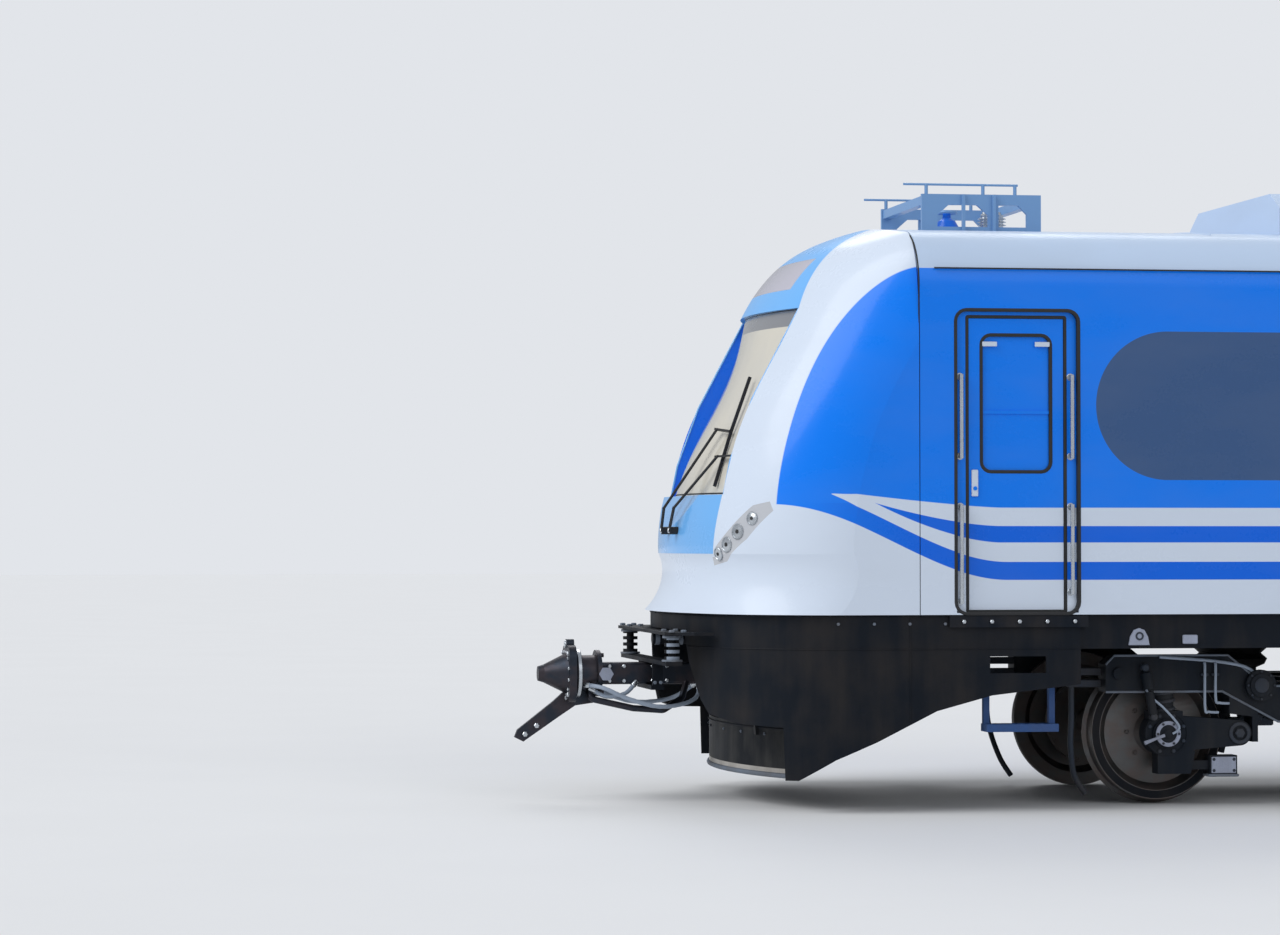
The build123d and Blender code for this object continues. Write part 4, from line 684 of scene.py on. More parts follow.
def rows(*columns: object) -> np.ndarray:
    """Points from their columns.

    Args:
        columns: One array or single value for each axis.

    Returns:
        Rows of the columns' values.
    """
    return np.column_stack(np.broadcast_arrays(*columns)).astype(float)


def spread(*values: object) -> np.ndarray:
    """Every combination of values.

    Args:
        values: One array or single value for each axis.

    Returns:
        Rows of X, Y and Z.
    """
    axes = [np.atleast_1d(value).astype(float) for value in values]
    return np.stack(np.meshgrid(*axes, indexing="ij"), -1).reshape(-1, 3)


def back(place: object) -> object:
    """X of places along the car.

    Args:
        place: Distance back from the lip, or an array of them.

    Returns:
        X.
    """
    return LIP_X + np.asarray(place, float)


def circle(count: int, start: float = 0.0) -> np.ndarray:
    """Even steps round a unit circle.

    Args:
        count: Points.
        start: Angle of the first one.

    Returns:
        Rows of cosine and sine.
    """
    turn = start + np.linspace(0, 2 * np.pi, count, endpoint=False)
    return np.column_stack([np.cos(turn), np.sin(turn)])


def ring_of(
    centre: Place, radius: float, count: int, axis: str = "y", start: float = 0.0
) -> np.ndarray:
    """Places evenly round a circle.

    Args:
        centre: Middle of the circle.
        radius: Its radius.
        count: Places.
        axis: Axis that its plane is square to.
        start: Angle of the first place.

    Returns:
        Rows of X, Y and Z.
    """
    return np.asarray(centre, float) + rows(*radius * circle(count, start).T, 0.0)[:, ORDER[axis]]


def quads(count: tuple[int, int], closed: tuple[bool, bool] = (False, True)) -> np.ndarray:
    """Quads over a grid of points.

    Args:
        count: Rows and columns.
        closed: Whether the last row meets the first, and the last column the first.

    Returns:
        Rows of four indices.
    """
    index = np.arange(count[0] * count[1]).reshape(count)
    if closed[0]:
        index = np.vstack([index, index[:1]])
    if closed[1]:
        index = np.hstack([index, index[:, :1]])
    corners = (index[:-1, :-1], index[1:, :-1], index[1:, 1:], index[:-1, 1:])
    return np.stack(corners, -1).reshape(-1, 4)


def capped(rings: np.ndarray) -> np.ndarray:
    """Closes a row of rings: the middle of the first one goes ahead, that of the last behind.

    Args:
        rings: Array of shape (rings, points, 3).

    Returns:
        The same with two more rings, each all in one point.
    """
    middles = rings.mean(1, keepdims=True).repeat(rings.shape[1], 1)
    return np.concatenate([middles[:1], rings, middles[-1:]])


def rounded_box(size: Place, bevel: float) -> Shape:
    """Box with chamfered edges: closed rings, each a rectangle with cut corners.

    Args:
        size: Length along X, Y and Z.
        bevel: Width of the chamfer.

    Returns:
        Points round the box's middle, and quads.
    """
    half_x, half_y, half_z = np.array(size) / 2
    along = np.array([1, 1, 1, 1, -1, -1, -1, -1])
    across = np.roll(along, 2)
    cut = bevel * np.array([1, 0, 0, 1, 1, 0, 0, 1])
    levels = ((-half_z, bevel), (bevel - half_z, 0), (half_z - bevel, 0), (half_z, bevel))
    rings = capped(
        np.stack(
            [
                rows(along * (half_x - inset - cut), across * (half_y - inset - bevel + cut), z)
                for z, inset in levels
            ]
        )
    )
    return rings.reshape(-1, 3), quads(rings.shape[:2])


def bolt_head(radius: float, height: float, axis: str = "y") -> Shape:
    """Six-sided bolt head with a chamfered top, open where it sits.

    Four rings of six points: foot, shoulder, top edge and a point at the middle.

    Args:
        radius: Radius over the corners.
        height: Height.
        axis: Axis that it points along.

    Returns:
        Points round its foot, and quads.
    """
    levels = ((0.0, 1.0), (0.75, 1.0), (1.0, 0.75), (1.0, 0.0))
    rings = np.stack([rows(*radius * reach * circle(6).T, height * at) for at, reach in levels])
    return rings[..., ORDER[axis]].reshape(-1, 3), quads((4, 6))


def slab(outline: Pairs, depth: float, bevel: float = 0.15) -> Shape:
    """Upright plate square to Y, with edges drawn in at both faces.

    Six rings: a middle point, the drawn-in outline, the full outline, and back again.

    Args:
        outline: Pairs of X and Z round the plate's middle.
        depth: Thickness.
        bevel: Share of the thickness taken by each bevel.

    Returns:
        Points round the plate's middle, and quads.
    """
    flat = np.asarray(outline, float)
    inner = 1 - bevel * depth / np.abs(flat).max()
    half = ((0.5, 0), (0.5, inner), (0.5 - bevel, 1))
    levels = [(-level, scale) for level, scale in half] + list(half[::-1])
    rings = np.stack([rows(*(flat * scale).T, level * depth) for level, scale in levels])
    return rings[..., ORDER["y"]].reshape(-1, 3), quads(rings.shape[:2])


def bend(shape: Shape, matrix: Sequence[Place], shift: Place = (0, 0, 0)) -> Shape:
    """Shape that is leaned, stretched or turned.

    Args:
        shape: Points and quads.
        matrix: What the new X, Y and Z take of the old ones.
        shift: Move after that.

    Returns:
        The new shape.
    """
    return shape[0] @ np.array(matrix, float).T + shift, shape[1]


def tread_plate(x: np.ndarray, y: np.ndarray, low: float, high: float, groove: float) -> np.ndarray:
    """Plate whose top steps up and down by turns: a closed ring across it at each X.

    Args:
        x: Where the rings stand.
        y: Points across, from one edge to the other.
        low: Height of the underside.
        high: Height of the grooves.
        groove: Their depth.

    Returns:
        Closed rings for Surface.grid.
    """
    tops = high + groove * (np.arange(len(x)) % 2)
    top = np.stack(np.broadcast_arrays(x[:, None], y, tops[:, None]), -1)
    foot = np.stack(np.broadcast_arrays(x[:, None], y, low), -1)[:, ::-1]
    return capped(np.concatenate([top, foot], 1))


def smooth_path(points: Sequence[Place], steps: int = 8) -> np.ndarray:
    """Curve through points: between two of them a cubic with the neighbours' mean slope.

    Args:
        points: Rows of X, Y and Z.
        steps: Points for each run.

    Returns:
        Rows of X, Y and Z along the curve.
    """
    stops = np.asarray(points, float)
    slope = (np.vstack([stops[1:], stops[-1:]]) - np.vstack([stops[:1], stops[:-1]])) / 2
    t = np.linspace(0, 1, steps, endpoint=False)[None, :, None]
    curve = (
        stops[:-1, None] * (2 * t**3 - 3 * t**2 + 1)
        + slope[:-1, None] * (t**3 - 2 * t**2 + t)
        + stops[1:, None] * (3 * t**2 - 2 * t**3)
        + slope[1:, None] * (t**3 - t**2)
    )
    return np.vstack([curve.reshape(-1, 3), stops[-1:]])


def helix(foot: Place, radius: float, height: float, turns: float) -> np.ndarray:
    """Coil spring's wire line: a circle that climbs evenly, with flat end turns.

    Args:
        foot: Middle of the lowest turn.
        radius: Radius of the coil.
        height: Climb.
        turns: Number of turns, of which 0.6 at each end lie flat.

    Returns:
        Rows of X, Y and Z.
    """
    share = np.linspace(0, 1, int(turns * 16) + 1)
    turn = 2 * np.pi * turns * share
    climb = height * np.clip((share * turns - 0.6) / (turns - 1.2), 0, 1)
    return rows(radius * np.cos(turn), radius * np.sin(turn), climb) + foot


def crown_radius(inset: float = 0.0) -> float:
    """Radius of the roof's crown arc, which meets the cant arc smoothly.

    Args:
        inset: How far inside the outer skin.

    Returns:
        The radius.
    """
    cant, drop = CANT_RADIUS - inset, CANT_Z - ROOF_Z + inset
    return (cant**2 - (HALF_WIDTH - CANT_RADIUS) ** 2 - drop**2) / (2 * (cant + drop))


def roof_height(y: object, inset: float = 0.0) -> np.ndarray:
    """Height of the crown arc.

    Args:
        y: Distance from the middle.
        inset: How far inside the outer skin.

    Returns:
        Height above the ground.
    """
    radius = crown_radius(inset)
    return ROOF_Z - inset - radius + np.sqrt(radius**2 - np.square(y))


def body_line(inset: float) -> np.ndarray:
    """Section of the body from one sill over the roof to the other.

    A straight side, a cant arc, and the crown arc.

    Args:
        inset: How far inside the outer skin.

    Returns:
        Rows of Y and Z.
    """
    cant, cant_y, radius = CANT_RADIUS - inset, HALF_WIDTH - CANT_RADIUS, crown_radius(inset)
    meet = cant_y * radius / (radius - cant)
    side = rows(HALF_WIDTH - inset, np.linspace(SILL_Z, CANT_Z, 6))
    end = math.atan2(meet - cant_y, float(roof_height(meet, inset)) - CANT_Z)
    turn = np.linspace(np.pi / 2, end, 12)[1:]
    arc = rows(cant_y + cant * np.sin(turn), CANT_Z + cant * np.cos(turn))
    crown_y = np.linspace(meet, 0, 12)[1:]
    half = np.vstack([side, arc, rows(crown_y, roof_height(crown_y, inset))])
    return np.vstack([half, (half * (-1, 1))[::-1][1:]])


def surface_x(node: str, places: np.ndarray) -> np.ndarray:
    """Where lines along +X first meet a CAD node.

    Args:
        node: Name of the node.
        places: Rows of Y and Z.

    Returns:
        X of each hit.
    """
    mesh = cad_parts[node].data
    tree = BVHTree.FromPolygons(
        [vertex.co[:] for vertex in mesh.vertices], [face.vertices[:] for face in mesh.polygons]
    )
    hits = (tree.ray_cast((LIP_X - 1.0, y, z), (1.0, 0.0, 0.0))[0] for y, z in places)
    return np.array([math.nan if hit is None else hit[0] for hit in hits])


def new_object(name: str, data: bpy.types.ID) -> bpy.types.Object:
    """Object at the origin, linked to the scene.

    Args:
        name: Its name.
        data: Mesh, light or camera.

    Returns:
        The object.
    """
    holder = bpy.data.objects.new(name, data)
    bpy.context.scene.collection.objects.link(holder)
    return holder


class Surface:
    """Mesh under construction, made of whole arrays of points and faces.

    In its methods tint tells which of the finished object's materials the faces take.
    """

    def __init__(self, name: str) -> None:
        """Starts an empty mesh.

        Args:
            name: Name of the finished object.
        """
        self.name = name
        self.points: list[np.ndarray] = []
        self.faces: list[np.ndarray] = []
        self.tints: list[np.ndarray] = []
        self.count = 0

    def add(self, shape: Shape, tint: int = 0) -> None:
        """Adds points and the quads between them.

        Args:
            shape: Rows of X, Y and Z, and rows of four indices into them.
            tint: Material of the faces.
        """
        points, faces = shape
        self.points.append(points)
        self.faces.append(faces + self.count)
        self.tints.append(np.full(len(faces), tint))
        self.count += len(points)

    def grid(
        self, points: np.ndarray, closed: tuple[bool, bool] = (False, True), tint: int = 0
    ) -> None:
        """Quads over a grid of points, which may close in either direction.

        Args:
            points: Array of shape (rows, columns, 3).
            closed: Whether the last row meets the first, and the last column the first.
            tint: Material of the faces.
        """
        self.add((points.reshape(-1, 3), quads(points.shape[:2], closed)), tint)

    def tube(self, path: np.ndarray, radius: object, sides: int = 10, tint: int = 0) -> None:
        """Round bar: a circle carried square to a path, with both ends drawn in.

        Each ring stands square to the mean of the runs beside it. Its two axes are the
        direction of the path crossed with an upright, and with that again.

        Args:
            path: Rows of X, Y and Z.
            radius: One radius, or one for each point of the path.
            sides: Points round the circle.
            tint: Material of the faces.
        """
        path = np.asarray(path, float)
        runs = np.gradient(path, axis=0)
        runs /= np.linalg.norm(runs, axis=1, keepdims=True)
        steep = np.abs(runs[:, 2]).max() > 0.95
        across = np.cross(runs, (0.31, 0.95, 0.0) if steep else (0.0, 0.0, 1.0))
        across /= np.linalg.norm(across, axis=1, keepdims=True)
        second = np.cross(across, runs)
        turn = circle(sides)
        spokes = turn[:, :1] * across[:, None] + turn[:, 1:] * second[:, None]
        reach = np.broadcast_to(radius, len(path))[:, None, None]
        self.grid(capped(path[:, None] + spokes * reach), tint=tint)

    def lathe(
        self,
        profile: Pairs,
        centre: Place,
        axis: Place,
        sides: int = 24,
        tint: int = 0,
        solid: bool = True,
    ) -> None:
        """Turned piece: a profile of distance along an axis and radius, turned round it.

        Args:
            profile: Pairs of distance along the axis and radius.
            centre: The axis's own zero point.
            axis: Direction of the axis.
            sides: Points round the axis.
            tint: Material of the faces.
            solid: Whether both ends of the profile are closed towards the axis.
        """
        along = np.asarray(axis, float) / np.linalg.norm(axis)
        first = np.cross(along, (0.0, 0.0, 1.0) if abs(along[2]) < 0.9 else (1.0, 0.0, 0.0))
        first /= np.linalg.norm(first)
        spokes = circle(sides) @ np.stack([first, np.cross(along, first)])
        if solid:
            profile = ((profile[0][0], 0.0), *profile, (profile[-1][0], 0.0))
        shape = np.asarray(profile, float)[:, None]
        self.grid(centre + shape[..., :1] * along + shape[..., 1:] * spokes, tint=tint)

    def ring(
        self,
        centre: Place,
        axis: Place,
        inner: float,
        outer: float,
        height: float,
        sides: int = 24,
        tint: int = 0,
    ) -> None:
        """Flat ring that stands on its centre's plane, with its top edges drawn in.

        Args:
            centre: Middle of its foot.
            axis: Direction that it stands in.
            inner: Inner radius.
            outer: Outer radius.
            height: Height.
            sides: Points round the axis.
            tint: Material of the faces.
        """
        edge = min(height, outer - inner) * 0.25
        inside = ((0.0, inner), (height - edge, inner), (height, inner + edge))
        outside = ((height, outer - edge), (height - edge, outer), (0.0, outer))
        self.lathe((*inside, *outside, inside[0]), centre, axis, sides, tint, solid=False)

    def sweep(
        self,
        path: np.ndarray,
        across: object,
        upright: object,
        section: Pairs,
        closed: bool = True,
        tint: int = 0,
    ) -> None:
        """Moulding: a flat section carried along a path.

        Each section point stands at the path plus its first value times the across
        direction plus its second value times the upright one.

        Args:
            path: Rows of X, Y and Z.
            across: Direction of the section's first value, one or one for each path point.
            upright: Direction of its second value, likewise.
            section: Pairs of the two values, going round the section.
            closed: Whether the path closes on itself.
            tint: Material of the faces.
        """
        ways = (np.broadcast_to(way, path.shape)[:, None] for way in (across, upright))
        parts = (value[:, None] * way for value, way in zip(np.array(section, float).T, ways))
        self.grid(path[:, None] + sum(parts), (closed, True), tint)

    def repeat(self, shape: Shape, places: object, tint: int = 0) -> None:
        """Copies of a small shape at many places.

        Args:
            shape: Points round the shape's own zero, and quads.
            places: One row of X, Y and Z for each copy.
            tint: Material of the faces.
        """
        points, faces = shape
        places = np.asarray(places, float).reshape(-1, 3)
        shifts = np.arange(len(places))[:, None, None] * len(points)
        everywhere = (places[:, None] + points).reshape(-1, 3)
        self.add((everywhere, (faces + shifts).reshape(-1, 4)), tint)

    def boxes(self, size: Place, bevel: float, places: object, tint: int = 0) -> None:
        """Chamfered boxes.

        Args:
            size: Length along X, Y and Z.
            bevel: Width of the chamfer.
            places: Rows of their middles.
            tint: Material of the faces.
        """
        self.repeat(rounded_box(size, bevel), places, tint)

    def bolts(
        self,
        radius: float,
        height: float,
        places: object,
        tint: int = 0,
        axis: str = "y",
        sign: float = 1.0,
    ) -> None:
        """Six-sided bolt heads.

        Args:
            radius: Radius over the corners.
            height: Height.
            places: Rows of their feet.
            tint: Material of the faces.
            axis: Axis that they point along.
            sign: -1 for heads that point against it.
        """
        points, faces = bolt_head(radius, height, axis)
        points[:, "xyz".index(axis)] *= sign
        self.repeat((points, faces), places, tint)

    def finish(self, body: str, slot: str, finishes: Sequence[bpy.types.Material]) -> None:
        """Makes the object, merges doubled points, turns faces outwards and lets it ride.

        Args:
            body: Body that it moves with.
            slot: Material slot of the record; not used.
            finishes: Materials, in the order of the tints.
        """
        mesh = bpy.data.meshes.new(self.name)
        mesh.from_pydata(np.vstack(self.points).tolist(), [], np.vstack(self.faces).tolist())
        for material in finishes:
            mesh.materials.append(material)
        mesh.polygons.foreach_set("material_index", np.concatenate(self.tints).astype(np.int32))
        work = bmesh.new()
        work.from_mesh(mesh)
        bmesh.ops.remove_doubles(work, verts=work.verts, dist=MERGE)
        bmesh.ops.dissolve_degenerate(work, dist=MERGE / 10, edges=work.edges)
        bmesh.ops.recalc_face_normals(work, faces=work.faces)
        work.to_mesh(mesh)
        work.free()
        mesh.shade_smooth()
        piece = new_object(self.name, mesh)
        mesh.set_sharp_from_angle(angle=SMOOTH_ANGLE)
        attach(piece, body)
        log.info("%s: %d faces on %s", self.name, len(mesh.polygons), body)


def round_rectangle(width: float, height: float, radius: float) -> tuple[np.ndarray, np.ndarray]:
    """Outline of a rectangle whose corners are quarter circles, and its outward directions.

    Args:
        width: Width.
        height: Height.
        radius: Radius of the corners.

    Returns:
        Points of two values round the middle, and unit directions away from it.
    """
    quarter = np.linspace(0, np.pi / 2, 6)
    turn = (np.arange(4)[:, None] * np.pi / 2 + quarter).ravel()
    away = rows(np.cos(turn), np.sin(turn))
    signs = np.repeat([(1, 1), (-1, 1), (-1, -1), (1, -1)], len(quarter), 0)
    return signs * (width / 2 - radius, height / 2 - radius) + radius * away, away


def plan_outline(set_back: float, half: float, end: float) -> tuple[np.ndarray, np.ndarray]:
    """Plan of the nose from its middle to one side, as in the part's source.

    A front arc round a far centre, a corner arc that meets it smoothly, and a straight
    flank. On both arcs the outward direction is (-cos a, sin a) of the turning angle a.

    Args:
        set_back: How far the plan is pushed back from the lip.
        half: Half width of the flank.
        end: Place where the flank ends.

    Returns:
        Places back from the lip with distances from the middle, and outward directions.
    """
    radius, length, steps = NOSE_RADIUS, NOSE_LENGTH, 40
    corner = (radius**2 - (radius - length) ** 2 - half**2) / (2 * (radius - half))
    meet = (half - corner) * radius / (radius - corner)
    first = np.linspace(0, math.asin(meet / radius), steps)
    second = np.linspace(first[-1], np.pi / 2, steps)[1:]
    front = rows(set_back + radius - radius * np.cos(first), radius * np.sin(first))
    round_off = rows(
        set_back + length - corner * np.cos(second), half - corner + corner * np.sin(second)
    )
    flank = rows(np.linspace(set_back + length, end, 6)[1:], half)
    turn = np.concatenate([first, second, np.full(5, np.pi / 2)])
    return np.vstack([front, round_off, flank]), rows(-np.cos(turn), np.sin(turn))


@dataclass(frozen=True)
class Gasket:
    """Rubber section round an opening in a side, with a lip over the paint."""

    width: float = 0.03
    proud: float = 0.006
    sunk: float = 0.03

    def lay(
        self, surface: Surface, middle: Place, size: Place, face: float, sign: float
    ) -> None:
        """Carries the section round a rectangle with round corners.

        Args:
            surface: Mesh to add to.
            middle: X and Z of the opening's middle.
            size: Width, height and corner radius of the opening.
            face: Distance of the paint from the car's middle.
            sign: Side of the car.
        """
        outline, away = round_rectangle(*size)
        x, z = (outline + middle).T
        section = (
            (-0.006, -self.sunk),
            (-0.006, self.proud * 0.4),
            (0.004, self.proud),
            (self.width - 0.008, self.proud),
            (self.width, 0.001),
            (self.width, -0.002),
            (0.0008, -0.002),
            (0.0008, -self.sunk),
        )
        across = rows(away[:, 0], 0.0, away[:, 1])
        surface.sweep(rows(x, sign * face, z), across, (0.0, sign, 0.0), section)


class Piece:
    """Sub-assembly that adds pieces to the CAD nodes."""

    def dress(self, finishes: "Finishes") -> None:
        """Makes the pieces and lets them ride on their bodies.

        Args:
            finishes: The materials to choose from.
        """
        raise NotImplementedError


@dataclass
class BodySides(Piece):
    """Window gaskets, door seals, tread plates and trim of the sliding leaves."""

    corner: float = 0.09
    leaf_face: float = 1.515
    leaf_window: Place = (0.34, 0.8, 0.06)
    button: Pairs = ((0.0, 0.03), (0.005, 0.03), (0.006, 0.024))
    window_z: float = WINDOW_LOW + WINDOW_HEIGHT / 2

    def windows(self, finishes: "Finishes") -> None:
        """Gaskets round the saloon windows.

        Args:
            finishes: The materials to choose from.
        """
        surface = Surface("window_gaskets")
        for sign in SIDES.values():
            for front, width in WINDOWS:
                size = (width, WINDOW_HEIGHT, self.corner)
                middle = (back(front + width / 2), self.window_z)
                Gasket().lay(surface, middle, size, HALF_WIDTH, sign)
        surface.finish("car", "rubber", [finishes.rubber])

    def doorways(self, finishes: "Finishes") -> None:
        """Seals round the passenger doorways, and a bright tread plate at each sill.

        Args:
            finishes: The materials to choose from.
        """
        surface = Surface("doorway_trim")
        for sign in SIDES.values():
            for front in DOORWAYS:
                middle = (back(front + DOORWAY_WIDTH / 2), (FLOOR_Z + DOOR_TOP) / 2)
                size = (DOORWAY_WIDTH, DOOR_TOP - FLOOR_Z, 0.012)
                Gasket(sunk=0.025).lay(surface, middle, size, HALF_WIDTH, sign)
                x = middle[0] + np.linspace(-0.5, 0.5, 66) * (DOORWAY_WIDTH - 0.03)
                y = sign * np.linspace(1.435, 1.475, 9)
                plate = tread_plate(x, y, FLOOR_Z - 0.004, FLOOR_Z + 0.002, 0.0015)
                surface.grid(plate, tint=1)
        surface.finish("car", "rubber", [finishes.rubber, finishes.bright])

    def leaf(self, name: str, middle: float, way: float, sign: float) -> Surface:
        """Window gasket, meeting edge and round press button of one sliding leaf.

        Args:
            name: Name of the leaf.
            middle: Place of the doorway's middle, back from the lip.
            way: End of the car that the leaf slides to.
            sign: Side of the car.

        Returns:
            The trim, ready to be finished.
        """
        surface = Surface(f"trim_{name}")
        window = (back(middle + way * DOORWAY_WIDTH / 4), self.window_z)
        ring = Gasket(width=0.02, proud=0.0045, sunk=0.011)
        ring.lay(surface, window, self.leaf_window, self.leaf_face, sign)
        z = np.linspace(FLOOR_Z + 0.02, DOOR_TOP - 0.005, 24)
        edge = rows(back(middle + way * 0.009), sign * (self.leaf_face + 0.001), z)
        surface.tube(edge, 0.0058, 8)
        place = (back(middle + way * 0.1), sign * self.leaf_face, 2.3)
        surface.lathe(self.button, place, (0, sign, 0), 20, 1)
        return surface

    def dress(self, finishes: "Finishes") -> None:
        """Trim of windows, doorways and leaves.

        Args:
            finishes: The materials to choose from.
        """
        self.windows(finishes)
        self.doorways(finishes)
        for number, front in enumerate(DOORWAYS, 1):
            for side, sign in SIDES.items():
                for end, way in ENDS.items():
                    name = f"door_{number}_{side}_{end}"
                    surface = self.leaf(name, front + DOORWAY_WIDTH / 2, way, sign)
                    surface.finish(name, "body_paint", [finishes.rubber, finishes.signal])


@dataclass
class CrewDoors(Piece):
    """Latch plates, window gasket, lock and edge seal of the crew doors."""

    front: float = 1.83
    width: float = 0.654
    top: float = 3.241
    face: float = 1.516
    seal_face: float = 1.52
    window_low: float = 2.234
    window_size: Place = (0.46, 0.887, 0.06)

    def dress(self, finishes: "Finishes") -> None:
        """Trim of both doors, then both frames.

        Args:
            finishes: The materials to choose from.
        """
        middle = back(self.front + self.width / 2)
        for side, sign in SIDES.items():
            surface = Surface(f"trim_crew_door_{side}")
            window = (middle, self.window_low + self.window_size[1] / 2)
            ring = Gasket(width=0.016, proud=0.004, sunk=0.013)
            ring.lay(surface, window, self.window_size, self.face, sign)
            latches = spread(middle + np.array([-0.178, 0.178]), sign * (self.face + 0.002), 3.066)
            surface.boxes((0.1, 0.01, 0.032), 0.003, latches, 1)
            lock = (back(self.front + 0.046), sign * (self.face + 0.007), 2.155)
            surface.boxes((0.044, 0.012, 0.175), 0.004, lock, 1)
            materials = [finishes.rubber, finishes.white, finishes.bright]
            surface.finish(f"crew_door_{side}", "white_paint", materials)
        frames = Surface("crew_door_frames")
        for sign in SIDES.values():
            size = (self.width + 0.168, self.top + 0.054 - FLOOR_Z, 0.07)
            gasket = Gasket(width=0.016, proud=0.0035, sunk=0.028)
            place = (middle, (FLOOR_Z + self.top + 0.03) / 2)
            gasket.lay(frames, place, size, HALF_WIDTH, sign)
            inner = (self.width + 0.002, self.top - FLOOR_Z, 0.004)
            seal = Gasket(width=0.014, proud=0.003, sunk=0.01)
            seal.lay(frames, (middle, (FLOOR_Z + self.top) / 2), inner, self.seal_face, sign)
        frames.finish("car", "rubber", [finishes.rubber])


@dataclass
class NoseTrim(Piece):
    """Rubber round the windscreen, beads along the ribs, and the joint behind the cab.

    The profile gives the front's set-back from the lip at each height, as in the part's
    source, and the recess how far the screen lies behind it.
    """

    low: float = 2.085
    high: float = 3.336
    half_low: float = 0.935
    half_high: float = 0.915
    joint: float = 1.5
    profile: Pairs = (
        (1.294, 0.0), (1.416, 0.088), (1.553, 0.124), (1.690, 0.097), (1.980, 0.115),
        (2.316, 0.185), (2.728, 0.340), (3.138, 0.560), (3.471, 0.740), (3.660, 0.892),
        (3.788, 1.060), (3.873, 1.250),
    )
    recess: Pairs = (
        (1.294, 0.08), (1.98, 0.08), (2.316, 0.12), (2.728, 0.178), (3.138, 0.12),
        (3.471, 0.035),
    )

    def x(self, y: np.ndarray, z: np.ndarray) -> np.ndarray:
        """X of the front surface: set-back by height plus the plan arc's sagitta by Y.

        Args:
            y: Y of each place.
            z: Height of each place.

        Returns:
            X of each place.
        """
        flat = np.interp(z, *np.array(self.profile).T)
        return LIP_X + flat + NOSE_RADIUS - np.sqrt(NOSE_RADIUS**2 - np.square(y))

    def screen_edge(self, inset: float, depth: float) -> np.ndarray:
        """Closed path round the screen: four straight sides in Y and Z, laid in the recess.

        Args:
            inset: How far inside the screen's edge.
            depth: How far behind the glass.

        Returns:
            Rows of X, Y and Z, the last one equal to the first.
        """
        foot, head = self.half_low - inset, self.half_high - inset
        low, high = self.low + inset, self.high - inset
        corners = np.array([(-foot, low), (foot, low), (head, high), (-head, high)])
        share = np.linspace(0, 1, 24, endpoint=False)[:, None]
        runs = np.roll(corners, -1, 0) - corners
        flat = (corners[:, None] + runs[:, None] * share).reshape(-1, 2)
        y, z = np.vstack([flat, flat[:1]]).T
        return rows(self.x(y, z) + np.interp(z, *np.array(self.recess).T) + depth, y, z)

    def dress(self, finishes: "Finishes") -> None:
        """Screen seal, joint behind the cab, and beads on the ribs' edges.

        Args:
            finishes: The materials to choose from.
        """
        seal = Surface("screen_seal")
        seal.tube(self.screen_edge(0.008, -0.002), 0.009, 8)
        seal.finish("car", "rubber", [finishes.rubber])
        joint = Surface("cab_joint")
        joint.tube(rows(back(self.joint), *body_line(0.012).T), 0.006, 6)
        joint.finish("car", "rubber", [finishes.rubber])
        beads = Surface("rib_beads")
        for sign in SIDES.values():
            y = sign * np.linspace(self.half_low, self.half_high, 40)
            z = np.linspace(self.low, self.high, 40)
            beads.tube(rows(self.x(y, z) + 0.002, y, z), 0.0065, 8)
        beads.finish("car", "light_blue", [finishes.light])


